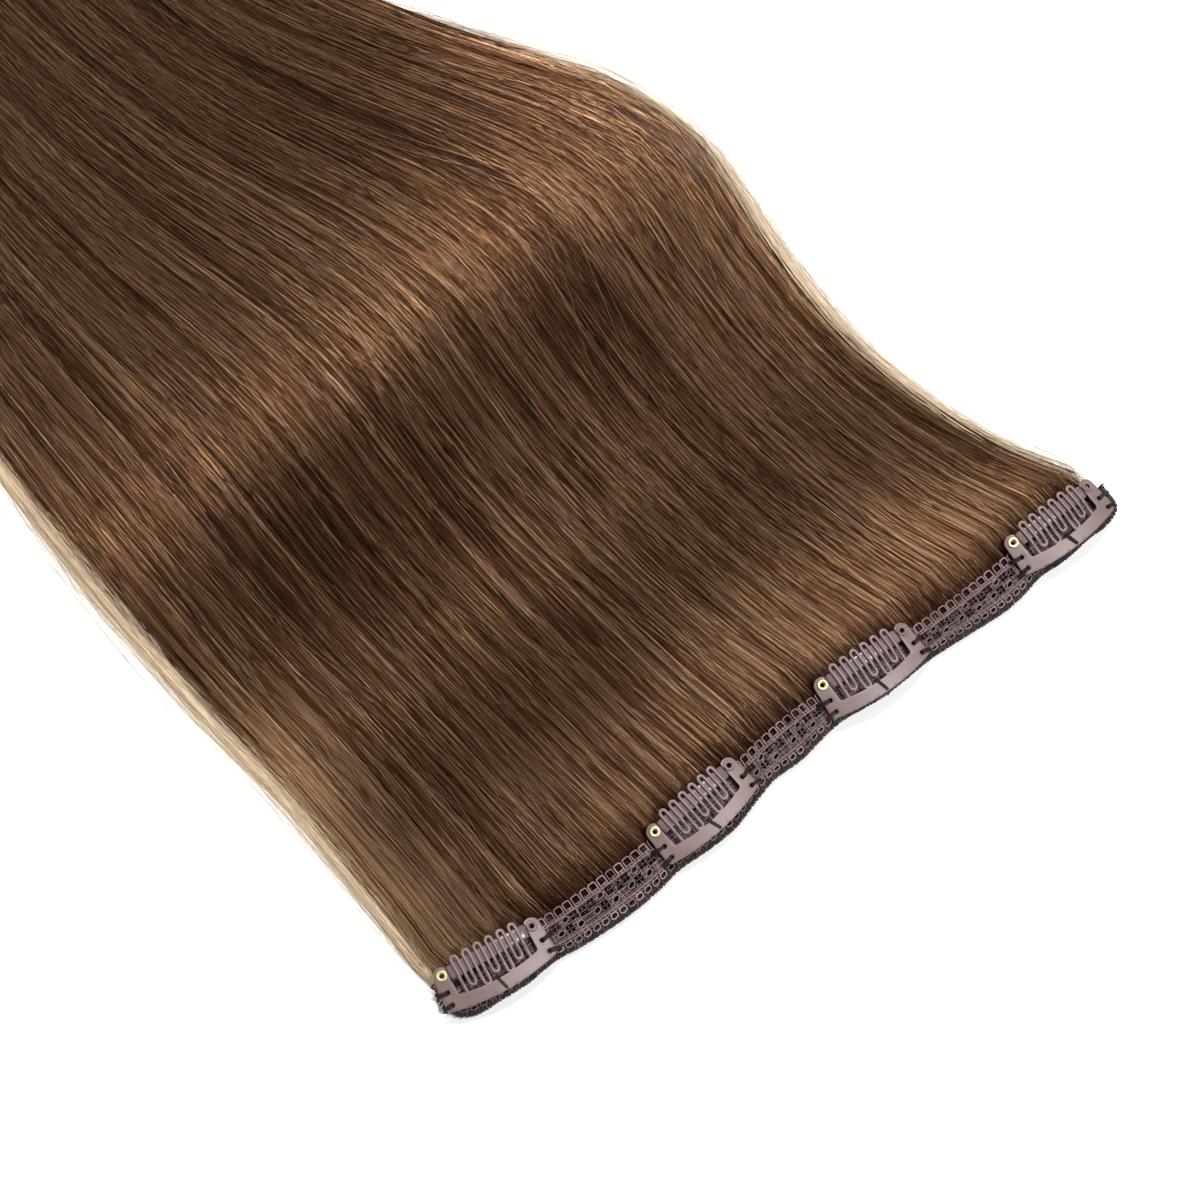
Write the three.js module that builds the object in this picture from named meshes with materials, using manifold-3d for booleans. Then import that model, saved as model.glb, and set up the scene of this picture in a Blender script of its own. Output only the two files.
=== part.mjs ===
import * as THREE from "three";
import { mergeVertices } from "three/addons/utils/BufferGeometryUtils.js";
import Module from "manifold-3d";

// A clip-in hair extension: one weft on a lace band with four snap clips, lying on a table.
// Millimetres. X runs along the band, Y towards the ends of the hair and Z up.

// Clearance left between neighbouring pieces.
const GAP = 0.3;

// Lace band.
const BAND_LENGTH = 227.4;
const LACE_WIDTH = 11.5;
const LACE_THICKNESS = 1.0;
const LACE_LIFT = 3.5;
const PICOT_PITCH = 2.74;
const PICOT_DEPTH = 0.55;
const SCALLOP_DEPTH = 0.2;
const PICOT_HOLE = 1.2;
const PICOT_RIM = 0.55;
const MOTIF_PITCH = 12.5;
const OVAL_LENGTH = 2.0;
const OVAL_WIDTH = 1.4;
const LATTICE_HOLE = 0.8;

// Overlocked seam along the lace's lower edge.
const SEAM_WIDTH = 3.2;
const SEAM_PAST_LACE = 1.3;

// Hair.
const HAIR_LENGTH = 457;
const HAIR_CREST = 14;
const LOCK_RELIEF = 0.1;
const TIP_RELIEF = 0.5;
const TIP_SPLIT = 0.8;
const TIP_THICKNESS = 0.8;

// Clips: the sheet that the plate and the comb are cut from, with a bow along its length.
const EYELET_SPACING = 27;
const EYELETS_PAST_LACE = 0.75;
const EAR_RADIUS = 2.3;
const SHEET_THICKNESS = 0.5;
const CLIP_BOW = 2.2;
const BOW_STEPS = 7;
const SIDE_FLARE = 0.6;
const ARCH_DEPTH = 11.5;
const ARCH_DROP = 0.6;
const SHOULDER_DEPTH = 9.6;
const SHOULDER_RADIUS = 1.5;
const ARM_INSIDE = 1.6;
const SEWING_HOLE_RADIUS = 0.7;

// The comb's winding strip of teeth.
const TEETH = 6;
const WIRE = 0.8;
const END_SLOT = 2.0;
const TOOTH_REACH = 3.45;
const BEND_DEPTH = 6.4;
const ROOT_DEPTH = 8.2;

// The bar that the teeth press on, its silicone sleeve and the two eyelets.
const BAR_WIDTH = 2.2;
const BAR_END_RADIUS = 1.9;
const BAR_THICKNESS = 0.5;
const BAR_LIFT = 0.4;
const GRIP_WIDTH = 4.0;
const GRIP_HEIGHT = 1.9;
const GRIP_CORNER = 0.55;
const GRIP_OFFSET = 0.3;
const EYELET_RADIUS = 1.5;
const EYELET_BARREL = 0.8;
const EYELET_BORE = 0.5;
const EYELET_HEAD = 0.4;
const EYELET_PLAY = 0.25;

// Where each clip sits: its place as a share of the band's length, and its turn in degrees.
const CLIPS = [
  { place: -0.4316, turn: -8.6 },
  { place: -0.1326, turn: 4.1 },
  { place: 0.1352, turn: -3.1 },
  { place: 0.4316, turn: -0.4 },
];

// The band's gentle wave: place as a share of its length, drift as a share of the lace's width.
const BAND_WAVE = [
  { place: -0.5, drift: 0.06 },
  { place: -0.43, drift: 0.04 },
  { place: -0.277, drift: -0.1 },
  { place: -0.13, drift: -0.07 },
  { place: 0.013, drift: 0.21 },
  { place: 0.13, drift: 0.1 },
  { place: 0.29, drift: 0.0 },
  { place: 0.43, drift: 0.06 },
  { place: 0.5, drift: 0.05 },
];

// One motif of the lace. Along is a share of its pitch, across a share of the lace's width.
const MOTIF = [
  { hole: "oval", along: 0.14, across: -0.1 },
  { hole: "oval", along: 0.64, across: -0.14 },
  { hole: "oval", along: 0.4, across: 0.2 },
  { hole: "square", along: 0.8, across: 0.08 },
  { hole: "square", along: 0.91, across: 0.0 },
  { hole: "square", along: 0.9, across: 0.16 },
];

// The sewing holes down each short side of a plate. Out is a share of the arm's width from its
// inner edge, down is a share of the depth of the plate's shoulders.
const SEWING_HOLES = [
  { out: 0.59, down: 0.48 },
  { out: 0.69, down: 0.83 },
];

// The hair from root to tip. Along is a share of its length, and left and right are shares of half
// the band. Rise goes from 0 at the height of the seam to 1 at the crest, and edge is the height of
// the sides as a share of the middle's.
const HAIR_FLOW = [
  { along: 0.0, left: -0.985, right: 0.985, rise: 0.0, edge: 1.0 },
  { along: 0.032, left: -1.0, right: 0.985, rise: 0.0, edge: 0.8 },
  { along: 0.055, left: -1.015, right: 0.965, rise: 0.25, edge: 0.35 },
  { along: 0.085, left: -1.04, right: 0.9, rise: 0.46, edge: 0.2 },
  { along: 0.13, left: -1.06, right: 0.84, rise: 0.66, edge: 0.14 },
  { along: 0.18, left: -1.08, right: 0.805, rise: 0.81, edge: 0.12 },
  { along: 0.23, left: -1.104, right: 0.8, rise: 0.9, edge: 0.12 },
  { along: 0.28, left: -1.13, right: 0.83, rise: 0.96, edge: 0.12 },
  { along: 0.35, left: -1.165, right: 0.872, rise: 1.0, edge: 0.12 },
  { along: 0.42, left: -1.155, right: 0.81, rise: 0.95, edge: 0.12 },
  { along: 0.49, left: -1.135, right: 0.65, rise: 0.83, edge: 0.12 },
  { along: 0.56, left: -1.11, right: 0.45, rise: 0.69, edge: 0.12 },
  { along: 0.66, left: -1.08, right: 0.27, rise: 0.5, edge: 0.15 },
  { along: 0.8, left: -1.07, right: 0.15, rise: 0.22, edge: 0.25 },
  { along: 1.0, left: -1.09, right: 0.08, rise: -0.1, edge: 0.5 },
];

// Where the rows of the hair's surface lie between the root strip and the split of the tips.
const HAIR_ROWS = 18;
const HAIR_ROW_SPREAD = 1.15;

// The locks across the hair: each one's share of the width, and the share of the length it reaches.
const LOCKS = [
  { width: 0.8, reach: 0.88 },
  { width: 1.1, reach: 0.93 },
  { width: 0.9, reach: 0.96 },
  { width: 1.2, reach: 0.94 },
  { width: 1.0, reach: 0.99 },
  { width: 0.8, reach: 0.95 },
  { width: 1.3, reach: 1.0 },
  { width: 0.9, reach: 0.96 },
  { width: 1.1, reach: 0.98 },
  { width: 1.0, reach: 0.94 },
  { width: 0.8, reach: 0.97 },
  { width: 1.2, reach: 0.93 },
  { width: 0.9, reach: 0.95 },
  { width: 1.1, reach: 0.91 },
  { width: 1.0, reach: 0.93 },
  { width: 0.8, reach: 0.87 },
];

// The rings of a lock's tip: how far along the tip, and the width and height left there.
const TIP_RINGS = [
  { share: 0.4, width: 0.78, height: 0.8 },
  { share: 0.8, width: 0.38, height: 0.55 },
];

const laceEdge = LACE_WIDTH / 2;
const laceTop = LACE_LIFT + LACE_THICKNESS;
const seamHeight = LACE_LIFT - GAP;
const seamInside = -laceEdge - SEAM_PAST_LACE + SEAM_WIDTH;
const hairRoot = seamInside + GAP;
const eyeletLine = laceEdge + EYELETS_PAST_LACE;
const rootStrip = eyeletLine + TOOTH_REACH - hairRoot;

const earX = EYELET_SPACING / 2;
const plateHalf = earX + EAR_RADIUS;
const armX = earX - ARM_INSIDE;
const eyeletHole = EYELET_BARREL + EYELET_PLAY;
const gripEdge = GRIP_OFFSET + GRIP_WIDTH / 2;
const gripMiddle = BAR_LIFT + BAR_THICKNESS / 2;
const sheetLift = BAR_LIFT + BAR_THICKNESS + GAP;
const toothRise = gripMiddle + GRIP_HEIGHT / 2 + GAP - sheetLift;

const legCount = 2 * TEETH;
const legStep = (2 * (armX - END_SLOT) - WIRE) / (legCount - 1);
const bendRadius = legStep / 2;
const riseStart = BEND_DEPTH - WIRE / 2 - bendRadius;
const riseEnd = gripEdge + 2 * GAP;

function finish(color, roughness, metalness) {
  return new THREE.MeshStandardMaterial({ color, roughness, metalness });
}

const wasm = await Module();
wasm.setup();

const paintedSteel = finish(0x988482, 0.35, 0.1);
const brass = finish(0xd8c06a, 0.25, 1.0);
const silicone = finish(0xb3a7a6, 0.15, 0.0);
const laceThread = finish(0x6e5a5c, 0.8, 0.0);
const seamThread = finish(0x3a302c, 0.85, 0.0);
const hairFibre = finish(0x6e5039, 0.5, 0.0);

function piece(name, geometry, material) {
  const result = new THREE.Mesh(geometry, material);
  result.name = name;
  return result;
}

// Reads one column of a table at a value of its key column, on a smooth curve through the rows.
function readTable(rows, key, column, value) {
  const last = rows.length - 1;
  let row = 0;
  while (row < last - 1 && value > rows[row + 1][key]) {
    row += 1;
  }
  const slope = (index) => {
    const low = rows[Math.max(index - 1, 0)];
    const high = rows[Math.min(index + 1, last)];
    return (high[column] - low[column]) / (high[key] - low[key]);
  };
  const span = rows[row + 1][key] - rows[row][key];
  const share = THREE.MathUtils.clamp((value - rows[row][key]) / span, 0, 1);
  const rest = 1 - share;
  return (
    rest * rest * (1 + 2 * share) * rows[row][column] +
    share * share * (1 + 2 * rest) * rows[row + 1][column] +
    rest * rest * share * span * slope(row) -
    share * share * rest * span * slope(row + 1)
  );
}

function bandDrift(x) {
  return LACE_WIDTH * readTable(BAND_WAVE, "place", "drift", x / BAND_LENGTH);
}

function arcPoints(centreX, centreY, radius, fromDegrees, toDegrees, segments) {
  const points = [];
  for (let step = 0; step <= segments; step += 1) {
    const angle = THREE.MathUtils.degToRad(fromDegrees + ((toDegrees - fromDegrees) * step) / segments);
    points.push([centreX + radius * Math.cos(angle), centreY + radius * Math.sin(angle)]);
  }
  return points;
}

function shapeOf(points) {
  return new THREE.Shape(points.map(([x, y]) => new THREE.Vector2(x, y)));
}

function ellipseHole(x, y, radiusX, radiusY, sides) {
  const points = [];
  for (let side = 0; side < sides; side += 1) {
    const angle = (2 * Math.PI * (side + 0.5)) / sides;
    points.push([x + radiusX * Math.cos(angle), y + radiusY * Math.sin(angle)]);
  }
  return points;
}

function pathOf(points) {
  return new THREE.Path(points.map(([x, y]) => new THREE.Vector2(x, y)));
}

function squareHole(x, y, side) {
  return ellipseHole(x, y, side * Math.SQRT1_2, side * Math.SQRT1_2, 4);
}

function extrude(shape, depth, steps = 1) {
  return new THREE.ExtrudeGeometry(shape, { depth, steps, bevelEnabled: false });
}

function bend(geometry, move) {
  const position = geometry.attributes.position;
  const point = new THREE.Vector3();
  for (let index = 0; index < position.count; index += 1) {
    point.fromBufferAttribute(position, index);
    move(point);
    position.setXYZ(index, point.x, point.y, point.z);
  }
  geometry.computeVertexNormals();
  return geometry;
}

function indexedBody(positions, indices) {
  const geometry = new THREE.BufferGeometry();
  geometry.setAttribute("position", new THREE.Float32BufferAttribute(positions, 3));
  geometry.setIndex(indices);
  geometry.computeVertexNormals();
  return geometry;
}

// A closed body through rings of equal size, each ring turning right-handed about the way ahead.
function ringsBody(rings) {
  const size = rings[0].length;
  const end = (rings.length - 1) * size;
  const indices = [];
  for (let start = 0; start < end; start += size) {
    for (let side = 0; side < size; side += 1) {
      const a = start + side;
      const b = start + ((side + 1) % size);
      indices.push(a, b, b + size, a, b + size, a + size);
    }
  }
  for (let side = 1; side < size - 1; side += 1) {
    indices.push(0, side + 1, side);
    indices.push(end, end + side, end + side + 1);
  }
  return indexedBody(rings.flat(2), indices);
}

function solidOf(geometry) {
  const bare = geometry.clone();
  bare.deleteAttribute("normal");
  bare.deleteAttribute("uv");
  const merged = mergeVertices(bare);
  return new wasm.Manifold(new wasm.Mesh({
    numProp: 3,
    vertProperties: merged.attributes.position.array,
    triVerts: Uint32Array.from(merged.index.array),
  }));
}

function geometryOf(solid) {
  const { vertProperties, triVerts } = solid.getMesh();
  return indexedBody(Array.from(vertProperties), Array.from(triVerts));
}

// A sheet of even thickness over a grid, with its underside at a height worked out from the place.
function bentSlab(gridX, gridY, heightAt, thickness) {
  const positions = [];
  for (const lift of [0, thickness]) {
    for (const x of gridX) {
      for (const y of gridY) {
        positions.push(x, y, heightAt(x, y) + lift);
      }
    }
  }
  const rows = gridY.length;
  const layer = gridX.length * rows;
  const at = (column, row, top) => top * layer + column * rows + row;
  const indices = [];
  const addQuad = (a, b, c, d) => {
    indices.push(a, b, c, a, c, d);
  };
  const lastX = gridX.length - 1;
  const lastY = rows - 1;
  for (let column = 0; column < lastX; column += 1) {
    for (let row = 0; row < lastY; row += 1) {
      const corners = (top) => [
        at(column, row, top),
        at(column + 1, row, top),
        at(column + 1, row + 1, top),
        at(column, row + 1, top),
      ];
      addQuad(...corners(1));
      addQuad(...corners(0).reverse());
    }
    addQuad(at(column, 0, 0), at(column + 1, 0, 0), at(column + 1, 0, 1), at(column, 0, 1));
    addQuad(at(column + 1, lastY, 0), at(column, lastY, 0), at(column, lastY, 1), at(column + 1, lastY, 1));
  }
  for (let row = 0; row < lastY; row += 1) {
    addQuad(at(0, row + 1, 0), at(0, row, 0), at(0, row, 1), at(0, row + 1, 1));
    addQuad(at(lastX, row, 0), at(lastX, row + 1, 0), at(lastX, row + 1, 1), at(lastX, row, 1));
  }
  return indexedBody(positions, indices);
}

// A shape stamped out of a bent sheet that is wider than the shape all round.
function stamped(shape, slab) {
  const height = 2 * (CLIP_BOW + sheetLift + GRIP_HEIGHT);
  const punch = extrude(shape, height).translate(0, 0, -height / 2);
  return geometryOf(solidOf(slab).intersect(solidOf(punch)));
}

// The places along a clip where its bow bends.
function bowGrid() {
  const reach = plateHalf + SIDE_FLARE + WIRE;
  return Array.from({ length: BOW_STEPS + 1 }, (_, step) => reach * ((2 * step) / BOW_STEPS - 1));
}

// The bow along a clip: highest in the middle, level with the eyelets' ends at the sides.
function bow(x) {
  return CLIP_BOW * (1 - (x / plateHalf) ** 2);
}

function bowSlope(x) {
  return (-2 * CLIP_BOW * x) / plateHalf ** 2;
}

// The sheet's underside above the lace, without the teeth's rise over the grip.
function sheetHeight(x, y) {
  const drop = THREE.MathUtils.clamp((-y - gripEdge) / (ARCH_DEPTH - gripEdge), 0, 1);
  return bow(x) + sheetLift - ARCH_DROP * drop;
}

function combHeight(x, y) {
  const rise = THREE.MathUtils.clamp((y + riseStart) / (riseStart - riseEnd), 0, 1);
  return sheetHeight(x, y) + toothRise * rise;
}

// The plate: two arms with round ears, wide shoulders and a shallow arch, open for the comb.
function plateGeometry() {
  const windowY = -(ROOT_DEPTH + GAP);
  const windowCorner = END_SLOT / 2;
  const innerEarTurn = THREE.MathUtils.radToDeg(Math.acos(-ARM_INSIDE / EAR_RADIUS));
  const shoulderX = plateHalf + SIDE_FLARE - SHOULDER_RADIUS;
  const shoulderY = SHOULDER_RADIUS - SHOULDER_DEPTH;
  const shoulder = arcPoints(shoulderX, shoulderY, SHOULDER_RADIUS, 0, -70, 3);
  const [archX, archY] = shoulder.at(-1);
  const archSteps = 4;
  const half = [
    [armX - windowCorner, windowY],
    [armX, windowY + windowCorner],
    [armX, -gripEdge],
    ...arcPoints(earX, 0, EAR_RADIUS, innerEarTurn, 0, 6),
    ...shoulder,
  ];
  for (let step = archSteps - 1; step > 0; step -= 1) {
    const share = step / archSteps;
    half.push([archX * share, -ARCH_DEPTH + (ARCH_DEPTH + archY) * share ** 2]);
  }
  const mirrored = half.map(([x, y]) => [-x, y]).reverse();
  const shape = shapeOf([...half, [0, -ARCH_DEPTH], ...mirrored]);
  for (const side of [-1, 1]) {
    shape.holes.push(pathOf(ellipseHole(side * earX, 0, eyeletHole, eyeletHole, 8)));
    for (const { out, down } of SEWING_HOLES) {
      const x = side * (armX + out * (plateHalf - armX));
      const y = -down * SHOULDER_DEPTH;
      shape.holes.push(pathOf(ellipseHole(x, y, SEWING_HOLE_RADIUS, SEWING_HOLE_RADIUS, 6)));
    }
  }
  const gridY = [-ARCH_DEPTH - WIRE, -gripEdge, EAR_RADIUS + WIRE];
  return stamped(shape, bentSlab(bowGrid(), gridY, sheetHeight, SHEET_THICKNESS));
}

// The middle line of the comb's strip: up each tooth, over, down, and round a bend to the next.
function combPath() {
  const legX = (leg) => (leg - (legCount - 1) / 2) * legStep;
  const topY = TOOTH_REACH - WIRE / 2 - bendRadius;
  const path = [[legX(0), -ROOT_DEPTH], [legX(0), -riseStart]];
  for (let tooth = 0; tooth < TEETH; tooth += 1) {
    const up = legX(2 * tooth);
    const down = legX(2 * tooth + 1);
    path.push([up, -riseEnd]);
    path.push(...arcPoints((up + down) / 2, topY, bendRadius, 180, 0, 4));
    path.push([down, -riseEnd]);
    if (tooth === TEETH - 1) {
      path.push([down, -riseStart], [down, -ROOT_DEPTH]);
    } else if (tooth % 2 === 0) {
      path.push(...arcPoints(down + bendRadius, -riseStart, bendRadius, -180, 0, 4));
    } else {
      const deepY = WIRE / 2 + bendRadius - ROOT_DEPTH;
      path.push([down, -riseStart]);
      path.push(...arcPoints(down + bendRadius, deepY, bendRadius, -180, 0, 4));
      path.push([down + legStep, -riseStart]);
    }
  }
  return path;
}

function combGeometry() {
  const path = combPath().map(([x, y]) => new THREE.Vector2(x, y));
  const way = (from, to) => to.clone().sub(from).normalize();
  const rings = path.map((point, index) => {
    const arriving = index > 0 ? way(path[index - 1], point) : way(point, path[1]);
    const leaving = index < path.length - 1 ? way(point, path[index + 1]) : arriving;
    const left = new THREE.Vector2(-arriving.y - leaving.y, arriving.x + leaving.x).normalize();
    const reach = WIRE / 2 / (left.y * arriving.x - left.x * arriving.y);
    const corner = (side, lift) => {
      const x = point.x + side * reach * left.x;
      const y = point.y + side * reach * left.y;
      return [x, y, combHeight(x, y) + lift];
    };
    return [corner(1, 0), corner(1, SHEET_THICKNESS), corner(-1, SHEET_THICKNESS), corner(-1, 0)];
  });
  return ringsBody(rings);
}

function barGeometry() {
  const halfWidth = BAR_WIDTH / 2;
  const neckTurn = THREE.MathUtils.radToDeg(Math.asin(halfWidth / BAR_END_RADIUS));
  const rightEnd = arcPoints(earX, 0, BAR_END_RADIUS, neckTurn - 180, 180 - neckTurn, 7);
  const leftEnd = rightEnd.map(([x, y]) => [-x, -y]);
  const shape = shapeOf([...rightEnd, ...leftEnd]);
  shape.holes.push(pathOf(ellipseHole(earX, 0, eyeletHole, eyeletHole, 8)));
  shape.holes.push(pathOf(ellipseHole(-earX, 0, eyeletHole, eyeletHole, 8)));
  const gridY = [-BAR_END_RADIUS - WIRE, BAR_END_RADIUS + WIRE];
  return stamped(shape, bentSlab(bowGrid(), gridY, (x) => bow(x) + BAR_LIFT, BAR_THICKNESS));
}

// The sleeve: a rounded band round the bar, with a bore that clears it.
function gripGeometry() {
  const halfWidth = GRIP_WIDTH / 2;
  const halfHeight = GRIP_HEIGHT / 2;
  const outer = [
    [halfWidth, halfHeight - GRIP_CORNER],
    [halfWidth - GRIP_CORNER, halfHeight],
    [GRIP_CORNER - halfWidth, halfHeight],
    [-halfWidth, halfHeight - GRIP_CORNER],
    [-halfWidth, GRIP_CORNER - halfHeight],
    [GRIP_CORNER - halfWidth, -halfHeight],
    [halfWidth - GRIP_CORNER, -halfHeight],
    [halfWidth, GRIP_CORNER - halfHeight],
  ];
  const boreWidth = BAR_WIDTH / 2 + GAP;
  const boreHeight = BAR_THICKNESS / 2 + GAP;
  const bore = [
    [GRIP_OFFSET + boreWidth, boreHeight],
    [GRIP_OFFSET - boreWidth, boreHeight],
    [GRIP_OFFSET - boreWidth, -boreHeight],
    [GRIP_OFFSET + boreWidth, -boreHeight],
  ];
  const shape = shapeOf(outer);
  shape.holes.push(pathOf(bore));
  const length = 2 * (armX - GAP);
  return bend(extrude(shape, length, BOW_STEPS - 2), (point) => {
    const x = point.z - length / 2;
    point.set(x, point.x - GRIP_OFFSET, gripMiddle + bow(x) + point.y);
  });
}

// An eyelet: a flat head over the ear with a barrel down through the ear and the bar.
function eyeletGeometry() {
  const headBottom = sheetLift + SHEET_THICKNESS + GAP;
  const headTop = headBottom + EYELET_HEAD;
  const profile = [
    [EYELET_BORE, BAR_LIFT],
    [EYELET_BARREL, BAR_LIFT],
    [EYELET_BARREL, headBottom],
    [EYELET_RADIUS, headBottom],
    [EYELET_RADIUS - EYELET_HEAD / 2, headTop],
    [EYELET_BORE, headTop],
    [EYELET_BORE, BAR_LIFT],
  ];
  const lathe = new THREE.LatheGeometry(profile.map(([x, y]) => new THREE.Vector2(x, y)), 10);
  return lathe.rotateX(Math.PI / 2);
}

function eyelet(name, side, material) {
  const result = piece(name, eyeletGeometry(), material);
  const middle = sheetLift + SHEET_THICKNESS / 2;
  const tilt = -Math.atan(bowSlope(side * earX));
  result.rotation.y = tilt;
  result.position.set(side * earX, 0, bow(earX) + middle);
  result.geometry.translate(0, 0, -middle);
  return result;
}

function clip(number, { place, turn }) {
  const name = (part) => `clip_${number}_${part}`;
  const x = place * BAND_LENGTH;
  const group = new THREE.Group();
  group.position.set(x, bandDrift(x) + eyeletLine, laceTop);
  group.rotation.z = THREE.MathUtils.degToRad(turn);
  group.add(
    piece(name("plate"), plateGeometry(), paintedSteel),
    piece(name("comb"), combGeometry(), paintedSteel),
    piece(name("bar"), barGeometry(), paintedSteel),
    piece(name("grip"), gripGeometry(), silicone),
    eyelet(name("brass_eyelet"), -1, brass),
    eyelet(name("painted_eyelet"), 1, paintedSteel),
  );
  return group;
}

// The stretches of lace that show between two clips.
function openStretches() {
  const cover = plateHalf + SIDE_FLARE + PICOT_RIM;
  return CLIPS.slice(1).map((next, index) => ({
    start: CLIPS[index].place * BAND_LENGTH + cover,
    end: next.place * BAND_LENGTH - cover,
  }));
}

function laceGeometry() {
  const halfLength = BAND_LENGTH / 2;
  const top = [[-halfLength, laceEdge]];
  const bottom = [[-halfLength, -laceEdge]];
  const holes = [];
  for (const { start, end } of openStretches()) {
    const picots = Math.round((end - start) / PICOT_PITCH);
    const pitch = (end - start) / picots;
    for (let picot = 0; picot < picots; picot += 1) {
      const left = start + picot * pitch;
      const middle = left + pitch / 2;
      top.push([left, laceEdge - PICOT_DEPTH], [middle, laceEdge]);
      bottom.push([left, SCALLOP_DEPTH - laceEdge], [middle, -laceEdge]);
      const holeY = laceEdge - PICOT_RIM - PICOT_HOLE / 2;
      holes.push(squareHole(middle, holeY, PICOT_HOLE));
      holes.push(ellipseHole(middle, -holeY, OVAL_LENGTH / 2, PICOT_HOLE / 2, 5));
    }
    top.push([end, laceEdge - PICOT_DEPTH]);
    bottom.push([end, SCALLOP_DEPTH - laceEdge]);
    const motifs = Math.round((end - start) / MOTIF_PITCH);
    const motifPitch = (end - start) / motifs;
    for (let motif = 0; motif < motifs; motif += 1) {
      for (const { hole, along, across } of MOTIF) {
        const x = start + (motif + along) * motifPitch;
        const y = across * LACE_WIDTH;
        if (hole === "oval") {
          holes.push(ellipseHole(x, y, OVAL_LENGTH / 2, OVAL_WIDTH / 2, 6));
        } else {
          holes.push(squareHole(x, y, LATTICE_HOLE));
        }
      }
    }
  }
  top.push([halfLength, laceEdge]);
  bottom.push([halfLength, -laceEdge]);
  const drifted = ([x, y]) => [x, y + bandDrift(x)];
  const shape = shapeOf([...bottom, ...top.reverse()].map(drifted));
  shape.holes.push(...holes.map((hole) => pathOf(hole.map(drifted))));
  return extrude(shape, LACE_THICKNESS).translate(0, 0, LACE_LIFT);
}

function seamGeometry() {
  const stations = 18;
  const middle = seamInside - SEAM_WIDTH / 2;
  const corner = 30;
  const section = arcPoints(0, 0, 1, corner, 360 - corner, 5);
  const widest = Math.cos(THREE.MathUtils.degToRad(corner));
  const rings = [];
  for (let station = 0; station <= stations; station += 1) {
    const x = BAND_LENGTH * (station / stations - 0.5);
    rings.push(section.map(([y, z]) => [
      x,
      bandDrift(x) + middle + (y * SEAM_WIDTH) / (2 * widest),
      ((z + 1) * seamHeight) / 2,
    ]));
  }
  return ringsBody(rings);
}

// A point of the hair's top, from the share of its length and of its width, -1 left to 1 right.
function hairTop(along, across, relief) {
  const left = readTable(HAIR_FLOW, "along", "left", along);
  const right = readTable(HAIR_FLOW, "along", "right", along);
  const rise = readTable(HAIR_FLOW, "along", "rise", along);
  const edge = readTable(HAIR_FLOW, "along", "edge", along);
  const x = (BAND_LENGTH / 2) * THREE.MathUtils.lerp(left, right, (across + 1) / 2);
  const y = hairRoot + bandDrift(x) * (1 - along) + along * HAIR_LENGTH;
  const dome = (1 - Math.abs(across) ** 3) ** 0.7;
  const height = (seamHeight + rise * (HAIR_CREST - seamHeight)) * (edge + (1 - edge) * dome);
  return [x, y, height * (1 - relief)];
}

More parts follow.
